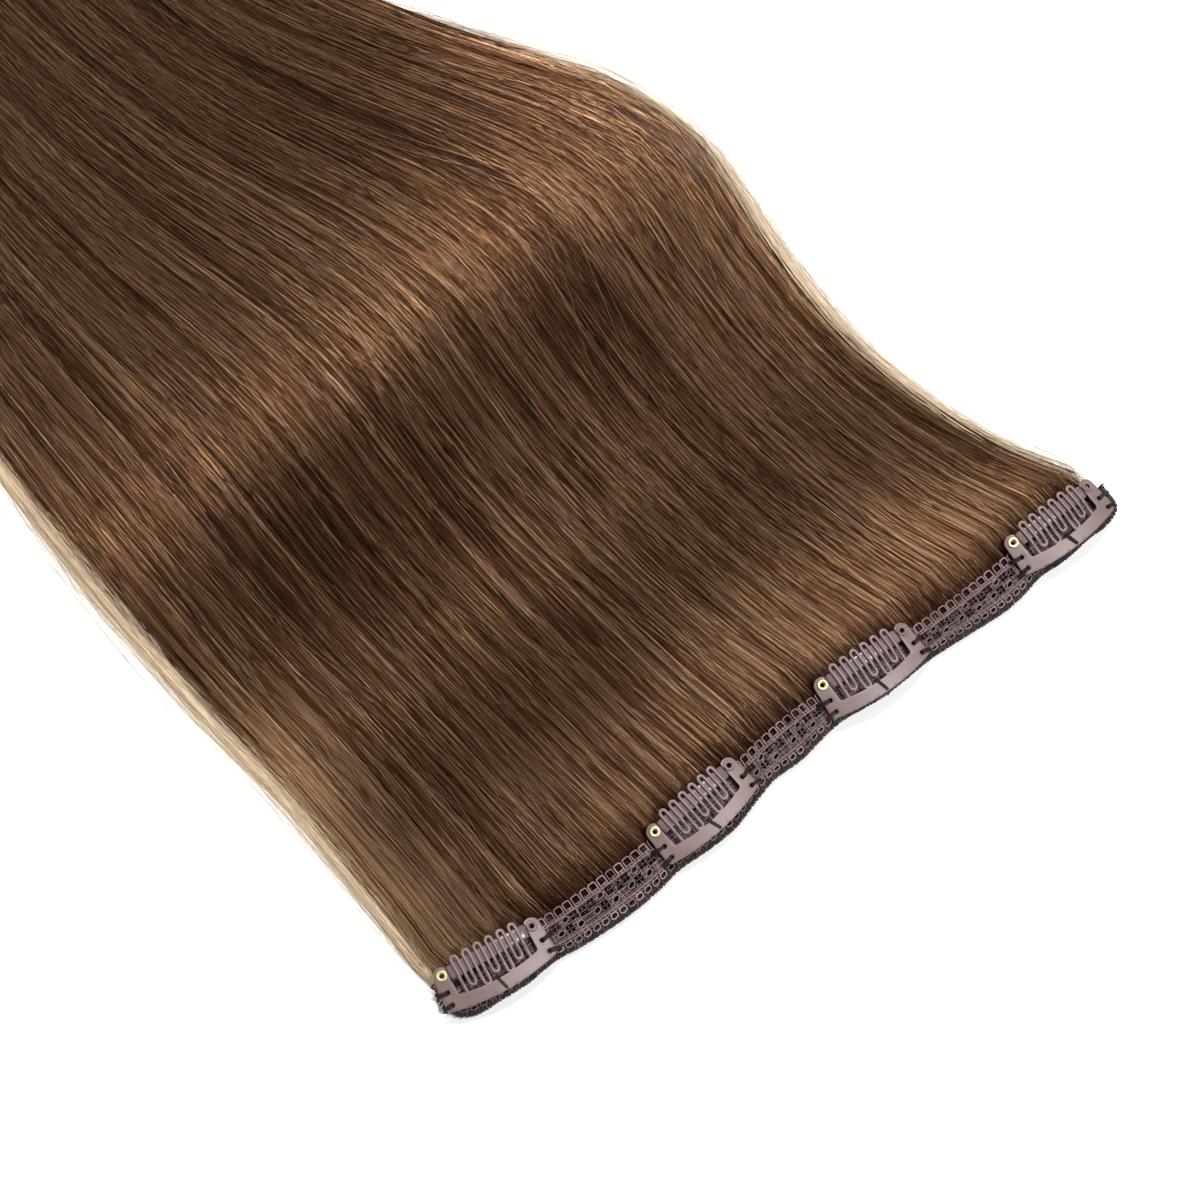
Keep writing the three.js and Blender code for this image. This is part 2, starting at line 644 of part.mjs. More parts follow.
// The hair: locks side by side that share their valleys, from a flat root strip under the lace to
// where the tips part, and beyond that one tapered tip for each lock.
function hairGeometry() {
  const widths = LOCKS.map((lock) => lock.width);
  const fullWidth = widths.reduce((sum, width) => sum + width, 0);
  const valleys = [-1];
  for (const width of widths) {
    valleys.push(valleys.at(-1) + (2 * width) / fullWidth);
  }
  const alongs = [0, rootStrip / HAIR_LENGTH];
  for (let row = 1; row <= HAIR_ROWS; row += 1) {
    const share = (row / HAIR_ROWS) ** HAIR_ROW_SPREAD;
    alongs.push(THREE.MathUtils.lerp(alongs[1], TIP_SPLIT, share));
  }
  const positions = [];
  const indices = [];
  const addPoint = (point) => {
    positions.push(...point);
    return positions.length / 3 - 1;
  };
  const addQuad = (a, b, c, d) => {
    indices.push(a, b, c, a, c, d);
  };
  const rows = alongs.map((along, row) => {
    const relief = row < 2 ? 0 : LOCK_RELIEF + (TIP_RELIEF - LOCK_RELIEF) * (along / TIP_SPLIT) ** 3;
    const top = [];
    const base = [];
    valleys.forEach((across, index) => {
      const valley = hairTop(along, across, relief);
      top.push(addPoint(valley));
      base.push(addPoint([valley[0], valley[1], 0]));
      if (index < LOCKS.length) {
        top.push(addPoint(hairTop(along, (across + valleys[index + 1]) / 2, 0)));
      }
    });
    return { top, base };
  });
  const lockRing = ({ top, base }, lock) => [
    base[lock],
    base[lock + 1],
    top[2 * lock + 2],
    top[2 * lock + 1],
    top[2 * lock],
  ];
  rows.slice(1).forEach((next, row) => {
    const previous = rows[row];
    for (let lock = 0; lock < LOCKS.length; lock += 1) {
      const near = lockRing(previous, lock);
      const far = lockRing(next, lock);
      addQuad(near[1], near[0], far[0], far[1]);
      addQuad(near[3], near[2], far[2], far[3]);
      addQuad(near[4], near[3], far[3], far[4]);
      if (lock === 0) {
        addQuad(near[0], near[4], far[4], far[0]);
      }
      if (lock === LOCKS.length - 1) {
        addQuad(near[2], near[1], far[1], far[2]);
      }
    }
  });
  LOCKS.forEach(({ reach }, lock) => {
    const root = lockRing(rows[0], lock);
    indices.push(root[0], root[1], root[2], root[0], root[2], root[3], root[0], root[3], root[4]);
    const middle = (valleys[lock] + valleys[lock + 1]) / 2;
    const half = (valleys[lock + 1] - valleys[lock]) / 2;
    let near = lockRing(rows.at(-1), lock);
    for (const { share, width, height } of TIP_RINGS) {
      const along = THREE.MathUtils.lerp(TIP_SPLIT, reach, share);
      const left = hairTop(along, middle - half * width, 1 - TIP_RELIEF * height);
      const right = hairTop(along, middle + half * width, 1 - TIP_RELIEF * height);
      const far = [
        addPoint([left[0], left[1], 0]),
        addPoint([right[0], right[1], 0]),
        addPoint(right),
        addPoint(hairTop(along, middle, 1 - height)),
        addPoint(left),
      ];
      near.forEach((corner, index) => {
        const next = (index + 1) % near.length;
        addQuad(near[next], corner, far[index], far[next]);
      });
      near = far;
    }
    const [x, y] = hairTop(reach, middle, 0);
    const tip = addPoint([x, y, TIP_THICKNESS / 2]);
    near.forEach((corner, index) => {
      indices.push(near[(index + 1) % near.length], corner, tip);
    });
  });
  return indexedBody(positions, indices);
}

const model = new THREE.Group();
model.add(
  piece("hair", hairGeometry(), hairFibre),
  piece("weft_seam", seamGeometry(), seamThread),
  piece("lace_band", laceGeometry(), laceThread),
  ...CLIPS.map((place, index) => clip(index + 1, place)),
);

// The model's origin is the middle of its footprint, on the table.
const bounds = new THREE.Box3().setFromObject(model);
const centre = bounds.getCenter(new THREE.Vector3());
model.position.set(-centre.x, -centre.y, -bounds.min.z);

export default model;
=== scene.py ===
# A clip-in hair extension: one weft on a lace band with four snap clips, lying on a pale table.
# Lengths are millimetres until a mesh is made. X runs along the band, Y towards the ends of the
# hair and Z up, all from the middle of the band on the table.
import math

import bpy
import numpy as np
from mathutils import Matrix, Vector
from mathutils.geometry import delaunay_2d_cdt


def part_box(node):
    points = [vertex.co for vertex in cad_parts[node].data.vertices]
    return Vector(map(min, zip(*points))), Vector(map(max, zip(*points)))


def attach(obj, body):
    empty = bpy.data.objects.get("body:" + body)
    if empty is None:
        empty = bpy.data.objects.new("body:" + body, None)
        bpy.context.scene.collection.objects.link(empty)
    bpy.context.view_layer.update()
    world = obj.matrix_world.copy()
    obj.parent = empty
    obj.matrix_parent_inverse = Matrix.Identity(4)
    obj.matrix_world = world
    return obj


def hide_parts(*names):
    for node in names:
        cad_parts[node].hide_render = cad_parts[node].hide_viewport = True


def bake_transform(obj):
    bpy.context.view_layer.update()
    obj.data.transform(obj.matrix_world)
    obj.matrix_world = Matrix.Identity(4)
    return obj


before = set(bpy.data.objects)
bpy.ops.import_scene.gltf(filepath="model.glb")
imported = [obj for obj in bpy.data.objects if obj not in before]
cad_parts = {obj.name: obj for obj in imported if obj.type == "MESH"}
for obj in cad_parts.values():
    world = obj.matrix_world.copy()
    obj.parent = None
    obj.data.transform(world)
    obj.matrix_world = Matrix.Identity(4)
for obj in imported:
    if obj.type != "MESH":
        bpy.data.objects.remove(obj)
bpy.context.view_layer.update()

MM = 0.001
SEED = 7

# The band and the seam under its lower edge.
BAND_LENGTH = 227.4
LACE_WIDTH = 11.5
LACE_TOP = 4.5
CLIP_REACH = 16.95
PICOT_PITCH = 2.74
MOTIF_PITCH = 12.5
CLOTH = (-3.2, 2.75)
CLOTH_BOTTOM = 3.75
CLOTH_THICKNESS = 0.3
CORD_RADIUS = 0.2
THREAD_RADIUS = 0.18
OVAL = (2.2, 1.5)
LATTICE_HOLE = 0.9
LATTICE_BAR = 0.26
SEAM_WIDTH = 3.2
SEAM_HEIGHT = 3.2
SEAM_PAST_LACE = 1.3
SEAM_PITCH = 1.0
SEAM_ENDS = (-114.2, 115.8)
SEAM_CORNER = 1.8
SEAM_END_LIFT = 1.4
SEAM_THINNER = 0.55

# Hair.
HAIR_LENGTH = 457.0
HAIR_CREST = 14.0
SWELL_RISE = 1.8
SWELL_PLACE = 0.365
SWELL_REACH = 0.055
DIP_DEPTH = 3.6
DIP_PLACE = (-0.25, 0.24)
DIP_REACH = (0.8, 0.06)
# The places where the hair's tone is painted darker as shade: place across and along, reach across and
# along, and how much darker.
PAINTED_SHADE_SPOTS = [
    ((-0.5, 0.27), (0.35, 0.08), 0.2),
    ((0.45, 0.28), (0.25, 0.07), 0.18),
    ((0.6, 0.46), (0.35, 0.075), 0.28),
]
LOCK_RELIEF = 0.17
FINE_RELIEF = 0.05
BODY_DEPTH = 0.6
TABLE_GAP = 0.05
TIP_START = 0.72
TIP_PULL = 0.5
TIP_HEIGHT = 1.1
TIP_FALL = 0.75
# How much lighter the tone is painted towards the tips: painted light over the shade among the thin
# tips, and partly the tips' own lighter colour.
TIP_LIGHT = 0.35
TIP_LOOSENESS = 4
TIP_LOOSE_FROM = 0.75
TIP_SURFACING = 0.6
LOCK_POINT = 0.09
LOCK_POINT_PULL = 0.03
WISPS = 560
WISP_REACH = 3.4
WISP_RADIUS = 0.045
LEFT_RIGHT_WISPS = (0.6, 0.4)
EDGE_THINNING = 0.03
# How much lighter the tone is painted at the left side near the band, as a painted highlight.
EDGE_PAINTED_HIGHLIGHT = 0.48
STRAND_TONE = 0.46
STRAND_TONE_SPREAD = 0.27
# How much darker the roots under the lace are painted, as painted shade, fading from ROOT_DARK to
# ROOT_LIGHT along the hair.
ROOT_PAINTED_SHADE = 0.4
ROOT_DARK = 0.014
ROOT_LIGHT = 0.026
ROOT_GAP = 0.3
ROOT_Y = SEAM_WIDTH + ROOT_GAP - SEAM_PAST_LACE - LACE_WIDTH / 2

# Clips, in a frame of their own: X between the eyelets, Y towards the teeth, Z from the lace.
EYELET_LINE = LACE_WIDTH / 2 + 0.75
EAR_X = 13.5
EAR_RADIUS = 2.3
PLATE_HALF = EAR_X + EAR_RADIUS
ARM_X = 11.9
SIDE_FLARE = 0.6
SHOULDER_DEPTH = 9.6
SHOULDER_RADIUS = 1.5
ARCH_DEPTH = 11.5
ARCH_DROP = 0.6
SHEET = 0.5
SHEET_LIFT = 1.2
CLIP_BOW = 2.2
ROOT_DEPTH = 8.2
HINGE_HEIGHT = 2.9
BLEND_REACH = 0.6
EYELET_BORE = 1.05
WINDOW_DEPTH = 7.85
WINDOW_SIDE = 6.5
BEND_DEPTH = 6.4
TOOTH_REACH = 3.45
TEETH = 6
WIRE = 0.8
END_SLOT = 2.0
TOOTH_RISE = 0.7
GRIP_WIDTH = 4.0
GRIP_HEIGHT = 1.9
GRIP_OFFSET = 0.3
GRIP_MIDDLE = 0.65
BAR_WIDTH = 2.2
BAR_END_RADIUS = 1.9
BAR_LIFT = 0.4

# One motif of the lace: the kind of hole, its place as a share of the pitch, and its height as a
# share of the lace's width.
MOTIF = [
    ("oval", 0.13, -0.1), ("oval", 0.64, -0.14), ("oval", 0.39, 0.14), ("lattice", 0.855, 0.07),
    ("lattice", 0.36, -0.1), ("lattice", 0.62, 0.12), ("lattice", 0.1, 0.125),
]

# Where each clip sits: its place as a share of the band's length, and its turn in degrees.
CLIPS = [(-0.4316, -8.6), (-0.1326, 4.1), (0.1352, -3.1), (0.4316, -0.4)]

# The sewing holes beside the comb, on both arms.
SEWING_HOLES = [(14.2, -4.6), (14.6, -8.0)]
SEWING_HOLE_RADIUS = 0.7

# The stitch over the middle of a plate: its way from the window to the rim, and its lift.
MIDDLE_STITCH = [(-0.9, -6.9, -0.6), (-0.6, -7.9, 0.15), (-0.1, -9.6, 0.12), (0.4, -11.5, 0.08)]

# The frayed threads at the left and the right end: their heights beside the clip and their reach.
FRAY_THREADS = 14
FRAYS = {-1: ((-9.5, 0.5), (0.4, 1.2)), 1: ((-5.0, -2.0), (0.8, 2.4))}

# The band's gentle wave: place as a share of its length, drift as a share of the lace's width.
BAND_WAVE = np.array([
    (-0.5, 0.06), (-0.43, 0.04), (-0.277, -0.1), (-0.13, -0.07), (0.013, 0.21),
    (0.13, 0.1), (0.29, 0.0), (0.43, 0.06), (0.5, 0.05),
])

# How far the clips draw up the lower edge of the band: place along it and rise, in millimetres, as
# read off the photo. The rise fades out over EDGE_RISE_FADE, up to EDGE_RISE_TOP over the middle.
EDGE_RISE_TOP = 2.5
EDGE_RISE_FADE = 8.5
LOWER_EDGE = np.array([
    (-115, 4.9), (-110, 2.0), (-103, 1.1), (-95, 0.5), (-85, 1.2), (-77, 0.3), (-62, -0.3),
    (-51, 0.3), (-44, 1.2), (-33, 0.2), (-25, 0.0), (-16, 1.3), (-9, 2.0), (1, 0.8), (10, 2.0),
    (17, 2.8), (31, 1.9), (48, 2.8), (60, 2.0), (72, 0.9), (79, 1.2), (86, 2.2), (95, 1.3),
    (104, 2.0), (110, 1.9), (116, 3.5),
])

# The hair from root to tip: along, left and right edge in half bands, rise to the crest, and the
# height of the sides as a share of the middle's. The edges are read off the photo, up to its border.
HAIR_FLOW = np.array([
    (0.0, -0.985, 0.985, 0.0, 1.0),
    (0.032, -1.022, 1.008, 0.0, 0.8),
    (0.055, -1.022, 0.96, 0.25, 0.35),
    (0.085, -1.022, 0.9, 0.46, 0.2),
    (0.13, -1.028, 0.842, 0.66, 0.14),
    (0.18, -1.04, 0.803, 0.81, 0.12),
    (0.23, -1.067, 0.793, 0.9, 0.12),
    (0.28, -1.086, 0.805, 0.96, 0.12),
    (0.35, -1.105, 0.832, 1.0, 0.12),
    (0.42, -1.115, 0.757, 0.95, 0.12),
    (0.49, -1.115, 0.578, 0.83, 0.12),
    (0.56, -1.1, 0.385, 0.69, 0.12),
    (0.66, -1.075, 0.225, 0.5, 0.15),
    (0.8, -1.065, 0.12, 0.22, 0.25),
    (1.0, -1.085, 0.06, -0.1, 0.5),
])

# The locks at the tips: each one's share of the width, and the share of the length it reaches.
LOCKS = np.array([
    (0.8, 0.88), (1.1, 0.93), (0.9, 0.96), (1.2, 0.94), (1.0, 0.99), (0.8, 0.95), (1.3, 1.0),
    (0.9, 0.96), (1.1, 0.98), (1.0, 0.94), (0.8, 0.97), (1.2, 0.93), (0.9, 0.95), (1.1, 0.91),
    (1.0, 0.93), (0.8, 0.87),
])

# The stations of a strand, as shares of its own length.
STATIONS = np.array([
    0.0, 0.02, 0.045, 0.09, 0.15, 0.21, 0.27, 0.33, 0.38, 0.43, 0.5, 0.6, 0.73, 0.87, 1.0,
])

# The layers of strands: name, count, spread over the width, least and most depth, radius, wander,
# loss of reach and, for the strays, a lift of the tone.
HAIR_LAYERS = [
    ("hair_strands_1", 1900, 0.995, (0.2, 0.5), 0.1, 0.12, 0.14),
    ("hair_strands_2", 1900, 0.995, (0.1, 0.4), 0.095, 0.15, 0.17),
    ("hair_strands_3", 1800, 1.0, (0.0, 0.28), 0.085, 0.3, 0.2),
    ("hair_strands_4", 1150, 1.0, (-0.12, 0.18), 0.075, 0.6, 0.25),
    ("hair_strays", 300, 0.97, (-0.5, -0.1), 0.06, 4.0, 0.3, 0.3),
]

# Camera: where it looks on the table, how it is turned, and its lens.
LOOK_AT = (-6.13, -156.83, 0.0)
CAMERA_AZIMUTH = -37.65
CAMERA_ELEVATION = 75.92
CAMERA_DISTANCE = 563.3
LENS = 60.55

# The lights, in metres and watts: name, place, size, power and colour. All shine at one place.
LIT_PLACE = (-0.02, -0.06, 0.0)
LIGHTS = [
    ("softbox_behind", (0.47, 0.64, 1.8), (0.3, 0.26), 42.0, (1.0, 0.985, 0.96)),
    ("softbox_front", (0.5, -0.62, 1.8), (0.8, 0.3), 33.0),
    ("softbox_far", (-0.1, 1.8, 2.0), (1.6, 0.8), 10.0),
    ("strip_low", (0.1, -1.3, 0.45), (1.0, 0.1), 6.0),
]

BAND_ORIGIN = np.array([
    (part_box("lace_band")[0].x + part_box("lace_band")[1].x) / 2 / MM,
    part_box("hair")[1].y / MM - ROOT_Y - HAIR_LENGTH,
    0.0,
])


def srgb(red, green, blue):
    """A colour given as 0 to 255, as Blender's linear values."""
    return tuple((value / 255) ** 2.2 for value in (red, green, blue)) + (1.0,)


# Tables and noise.
def read_table(rows, column, value):
    """One column of a table at values of its first column, on a smooth curve through the rows."""
    keys, heights = rows[:, 0], rows[:, column]
    last = len(keys) - 1
    low = np.maximum(np.arange(last + 1) - 1, 0)
    high = np.minimum(np.arange(last + 1) + 1, last)
    slope = (heights[high] - heights[low]) / (keys[high] - keys[low])
    row = np.clip(np.searchsorted(keys, value, side="right") - 1, 0, last - 1)
    span = keys[row + 1] - keys[row]
    share = np.clip((value - keys[row]) / span, 0, 1)
    rest = 1 - share
    ends = rest ** 2 * (1 + 2 * share) * heights[row] + share ** 2 * (1 + 2 * rest) * heights[row + 1]
    return ends + rest * share * span * (rest * slope[row] - share * slope[row + 1])


def ripple(across, along, seed, waves, across_rate, along_rate):
    """Smooth noise over the hair, about -1 to 1, with rates in turns over its width and length."""
    random = np.random.default_rng(seed)
    total = np.zeros(np.broadcast(across, along).shape)
    for _ in range(waves):
        turns_across = random.uniform(*across_rate) * random.choice([-1, 1])
        turns_along = random.uniform(*along_rate)
        phase = random.uniform(0, 1)
        total += np.sin(2 * np.pi * (turns_across * across / 2 + turns_along * along + phase))
    return total / math.sqrt(waves)


def band_drift(x):
    return LACE_WIDTH * read_table(BAND_WAVE, 1, np.asarray(x) / BAND_LENGTH)


def edge_rise(x, y):
    """How far a point of the flat band is drawn up: fully at its lower edge, less further in."""
    return read_table(LOWER_EDGE, 1, x) * np.clip((EDGE_RISE_TOP - y) / EDGE_RISE_FADE, 0, 1)


# Meshes.
def mesh_piece(name, points, faces, material, uv):
    """A smooth piece from points in millimetres, arrays of faces that have as many corners each,
    and a place in the map for each point."""
    mesh = bpy.data.meshes.new(name)
    corners = np.concatenate([block.ravel() for block in faces])
    sizes = np.concatenate([np.full(len(block), block.shape[1]) for block in faces])
    mesh.vertices.add(len(points))
    mesh.vertices.foreach_set("co", ((points + BAND_ORIGIN) * MM).astype(np.float32).ravel())
    mesh.loops.add(len(corners))
    mesh.loops.foreach_set("vertex_index", corners.astype(np.int32))
    mesh.polygons.add(len(sizes))
    mesh.polygons.foreach_set("loop_start", (np.cumsum(sizes) - sizes).astype(np.int32))
    mesh.update(calc_edges=True)
    layer = mesh.uv_layers.new(name="OFBake")
    layer.uv.foreach_set("vector", uv[corners].astype(np.float32).ravel())
    mesh.polygons.foreach_set("use_smooth", np.full(len(sizes), True))
    mesh.materials.append(material)
    piece = bpy.data.objects.new(name, mesh)
    bpy.context.scene.collection.objects.link(piece)
    return piece


def fasten(piece, slot, node=None):
    """Lets a piece ride on the weft and hides the part it stands for, if node is given; slot is not
    used.
    """
    if node:
        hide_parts(node)
    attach(piece, "weft")


def tube_faces(count, stations, sides, closed=False):
    """The quads of count tubes, each with stations rings of sides points."""
    rings = stations if closed else stations - 1
    tube, ring, side = np.meshgrid(np.arange(count), np.arange(rings), np.arange(sides), indexing="ij")
    start = tube * stations * sides
    near = start + ring * sides
    far = start + ((ring + 1) % stations) * sides
    after = (side + 1) % sides
    return np.stack([near + side, near + after, far + after, far + side], -1).reshape(-1, 4)


def cap_faces(count, stations, sides):
    """The polygons that close both ends of the tubes of tube_faces."""
    first = np.arange(count)[:, None] * stations * sides + np.arange(sides)[::-1]
    last = np.arange(count)[:, None] * stations * sides + (stations - 1) * sides + np.arange(sides)
    return np.concatenate([first, last])


def strand_mesh(name, paths, radii, uv, material):
    """Strands of three sides along paths, an array of strands by stations by 3."""
    count, stations, _ = paths.shape
    ahead = np.gradient(paths, axis=1)
    ahead /= np.linalg.norm(ahead, axis=2, keepdims=True)
    side = np.cross(ahead, (0.0, 0.0, 1.0))
    side /= np.linalg.norm(side, axis=2, keepdims=True)
    up = np.cross(side, ahead)
    turns = np.radians((90.0, 210.0, 330.0))
    around = np.cos(turns)[:, None] * side[:, :, None] + np.sin(turns)[:, None] * up[:, :, None]
    points = paths[:, :, None] + radii[:, :, None, None] * around
    faces = [tube_faces(count, stations, 3), cap_faces(count, stations, 3)]
    pairs = np.repeat(uv[:, :, None], 3, axis=2).reshape(-1, 2)
    return mesh_piece(name, points.reshape(-1, 3), faces, material, pairs)


def path_frames(path, closed):
    """Side and up directions along one path, carried from point to point without twist."""
    before = np.roll(path, 1, 0)
    after = np.roll(path, -1, 0)
    if not closed:
        before[0] = path[0]
        after[-1] = path[-1]
    ahead = after - before
    ahead /= np.linalg.norm(ahead, axis=1, keepdims=True)
    least = np.argmin(np.abs(ahead).max(0)) if closed else 2
    start = np.eye(3)[least]
    if abs(ahead[0] @ start) > 0.9:
        start = np.array([1.0, 0.0, 0.0])
    ups = []
    up = start
    for direction in ahead:
        up = up - direction * (up @ direction)
        up = up / np.linalg.norm(up)
        ups.append(up)
    ups = np.array(ups)
    return np.cross(ahead, ups), ups


def round_section(radius, sides):
    turns = 2 * np.pi * np.arange(sides) / sides
    return radius * np.stack([np.cos(turns), np.sin(turns)], 1)


class Body:
    """Collects tubes and plates into one mesh, each with a tone from 0, dark, to 1."""

    def __init__(self):
        self.points = []
        self.tones = []
        self.faces = {}
        self.size = 0
        self.tone = 0.5

    def add(self, points, *blocks):
        self.points.append(points)
        self.tones.append(np.full(len(points), self.tone))
        for block in blocks:
            self.faces.setdefault(block.shape[1], []).append(block + self.size)
        self.size += len(points)

    def tube(self, path, radius, sides=6, closed=False):
        """A round thread along a path."""
        side, up = path_frames(path, closed)
        ring = round_section(1.0, sides)
        radius = np.broadcast_to(radius, len(path))[:, None, None]
        around = ring[:, 0, None] * side[:, None] + ring[:, 1, None] * up[:, None]
        points = path[:, None] + radius * around
        blocks = [tube_faces(1, len(path), sides, closed)]
        if not closed:
            blocks.append(cap_faces(1, len(path), sides))
        self.add(points.reshape(-1, 3), *blocks)

    def join(self, other, move):
        """Adds another body's threads, moved into place."""
        self.add(move(np.concatenate(other.points)), *(np.concatenate(b) for b in other.faces.values()))
        self.tones[-1] = np.concatenate(other.tones)

    def piece(self, name, material, move=None):
        points = np.concatenate(self.points)
        points = points if move is None else move(points)
        faces = [np.concatenate(blocks) for blocks in self.faces.values()]
        tones = np.concatenate(self.tones)
        uv = np.column_stack([tones, np.full(len(tones), 0.5)])
        return mesh_piece(name, points, faces, material, uv)


def arc(x, y, radius, start, end, steps):
    turns = np.radians(np.linspace(start, end, steps + 1))
    return np.stack([x + radius * np.cos(turns), y + radius * np.sin(turns)], 1)


def ellipse(x, y, half_x, half_y, sides, lean=0.0):
    """A closed outline that turns clockwise, as the edge of a hole does."""
    turns = -2 * np.pi * np.arange(sides) / sides
    ring = np.stack([half_x * np.cos(turns), half_y * np.sin(turns)], 1)
    c, s = math.cos(math.radians(lean)), math.sin(math.radians(lean))
    return ring @ np.array([[c, s], [-s, c]]) + (x, y)


def resampled(outline, spacing):
    """A closed outline with points no further apart than spacing."""
    result = []
    for near, far in zip(outline, np.roll(outline, -1, 0)):
        steps = max(1, math.ceil(np.linalg.norm(far - near) / spacing))
        result.extend(near + (far - near) * step / steps for step in range(steps))
    return np.array(result)


def outward(outline):
    """Directions out of the material along a closed outline, longer at corners."""
    ahead = np.roll(outline, -1, 0) - outline
    ahead /= np.linalg.norm(ahead, axis=1, keepdims=True)
    normal = np.stack([ahead[:, 1], -ahead[:, 0]], 1)
    both = normal + np.roll(normal, 1, 0)
    return 2 * both / np.maximum((both ** 2).sum(1, keepdims=True), 1.0)


def inside(points, outlines):
    """Whether each point is inside an odd number of the outlines."""
    crossings = np.zeros(len(points), int)
    for outline in outlines:
        a, b = outline, np.roll(outline, -1, 0)
        span = (a[:, 1] > points[:, None, 1]) != (b[:, 1] > points[:, None, 1])
        rise = np.where(a[:, 1] == b[:, 1], 1.0, b[:, 1] - a[:, 1])
        x = a[:, 0] + (points[:, None, 1] - a[:, 1]) / rise * (b[:, 0] - a[:, 0])
        crossings += (span & (points[:, None, 0] < x)).sum(1)
    return crossings % 2 == 1


def add_sheet(body, outlines, underside, thickness, spacing, rounding):
    """A sheet with rounded edges, cut to outlines, the outer one anticlockwise and holes clockwise."""
    outlines = [resampled(outline, spacing) for outline in outlines]
    inner = [outline - rounding * outward(outline) for outline in outlines]
    low, high = np.concatenate(inner).min(0), np.concatenate(inner).max(0)
    grid = np.stack(np.meshgrid(np.arange(low[0], high[0], 1.6 * spacing),
                                np.arange(low[1], high[1], 1.6 * spacing)), -1).reshape(-1, 2)
    edge = np.concatenate(outlines)
    apart = np.array([np.min(((edge - point) ** 2).sum(1)) for point in grid])
    grid = grid[inside(grid, inner) & (apart > (0.9 * spacing) ** 2)]
    flat = np.concatenate([*inner, grid])
    edges = []
    start = 0
    for outline in inner:
        index = np.arange(len(outline))
        edges.extend(zip((start + index).tolist(), (start + (index + 1) % len(outline)).tolist()))
        start += len(outline)
    found, _, triangles, origins, _, _ = delaunay_2d_cdt([Vector(p) for p in flat], edges, [], 0, 1e-5)
    triangles = np.array(triangles)
    triangles = np.array([origin[0] for origin in origins])[triangles]
    triangles = triangles[inside(flat[triangles].mean(1), inner)]

    def raised(places, depth):
        top = underside(places[:, 0], places[:, 1]) + thickness
        return np.column_stack([places, top - depth])

    rounded = rounding * (1 - math.sqrt(0.5))
    layers = [(rounded, rounded), (0.0, rounding)]
    layers += [(inset, thickness - depth) for inset, depth in layers[::-1]]
    points = [raised(flat, 0.0), raised(flat, thickness)]
    count = len(flat)
    quads = []
    offset = 0
    for outline in outlines:
        size = len(outline)
        index = np.arange(size)
        rings = [offset + index]
        for inset, depth in layers:
            points.append(raised(outline - inset * outward(outline), depth))
            rings.append(sum(len(block) for block in points[:-1]) + index)
        rings.append(count + offset + index)
        for near, far in zip(rings, rings[1:]):
            quads.append(np.stack([near, far, np.roll(far, -1), np.roll(near, -1)], 1))
        offset += size
    body.add(np.concatenate(points), triangles, triangles[:, ::-1] + count, np.concatenate(quads))


# Materials.
class Nodes:
    """A material's node tree, with short ways to add and join nodes."""

    def __init__(self, name):
        self.material = bpy.data.materials.new(name)
        self.material.use_nodes = True
        self.tree = self.material.node_tree
        self.shader = self.tree.nodes["Principled BSDF"]

    def add(self, kind, **settings):
        node = self.tree.nodes.new(kind)
        for key, value in settings.items():
            setattr(node, key, value)
        return node

    def join(self, source, target):
        self.tree.links.new(source, target)

    def set(self, **values):
        for key, value in values.items():
            self.shader.inputs[key.replace("_", " ")].default_value = value

    def place(self, scale=(1.0, 1.0, 1.0), uv=False):
        """Coordinates of the object, or of its map, stretched by scale."""
        source = self.add("ShaderNodeUVMap", uv_map="OFBake") if uv else self.add("ShaderNodeTexCoord")
        mapping = self.add("ShaderNodeMapping")
        mapping.inputs["Scale"].default_value = scale
        self.join(source.outputs["UV" if uv else "Object"], mapping.inputs["Vector"])
        return mapping.outputs["Vector"]

    def map_axis(self, axis):
        """One axis of the map: X is the tone and Y runs along the hair."""
        split = self.add("ShaderNodeSeparateXYZ")
        self.join(self.place(uv=True), split.inputs["Vector"])
        return split.outputs[axis]

    def noise(self, place, scale=1.0, detail=2.0, roughness=0.5):
        node = self.add("ShaderNodeTexNoise")
        self.join(place, node.inputs["Vector"])
        node.inputs["Scale"].default_value = scale
        node.inputs["Detail"].default_value = detail
        node.inputs["Roughness"].default_value = roughness
        return node.outputs["Fac"]

    def ramp(self, factor, stops):
        node = self.add("ShaderNodeValToRGB")
        elements = node.color_ramp.elements
        while len(elements) < len(stops):
            elements.new(0.5)
        for element, (position, colour) in zip(elements, stops):
            element.position = position
            element.color = colour
        self.join(factor, node.inputs["Fac"])
        return node.outputs["Color"]

    def math(self, operation, first, second):
        node = self.add("ShaderNodeMath", operation=operation)
        for value, socket in zip((first, second), node.inputs):
            if isinstance(value, (int, float)):
                socket.default_value = value
            else:
                self.join(value, socket)
        return node.outputs["Value"]

    def spread(self, factor, low, high):
        """A factor of 0 to 1 taken to the range from low to high."""
        node = self.add("ShaderNodeMapRange")
        self.join(factor, node.inputs["Value"])
        node.inputs["To Min"].default_value = low
        node.inputs["To Max"].default_value = high
        return node.outputs["Result"]

    def bump(self, height, strength, distance):
        node = self.add("ShaderNodeBump")
        node.inputs["Strength"].default_value = strength
        node.inputs["Distance"].default_value = distance
        self.join(height, node.inputs["Height"])
        self.join(node.outputs["Normal"], self.shader.inputs["Normal"])

    def finish(self, colour=None, roughness=None):
        if colour is not None:
            self.join(colour, self.shader.inputs["Base Color"])
        if roughness is not None:
            self.join(roughness, self.shader.inputs["Roughness"])
        return self.material


def paint_material():
    nodes = Nodes("painted_steel")
    place = nodes.place()
    cloud = nodes.noise(place, 180.0, 3.0)
    grain = nodes.noise(place, 2600.0, 2.0)
    colour = nodes.ramp(cloud, [(0.3, srgb(96, 79, 78)), (0.7, srgb(107, 89, 87))])
    nodes.bump(grain, 0.06, 0.0002)
    nodes.set(Coat_Weight=0.08, Coat_Roughness=0.3)
    return nodes.finish(colour, nodes.spread(cloud, 0.42, 0.54))


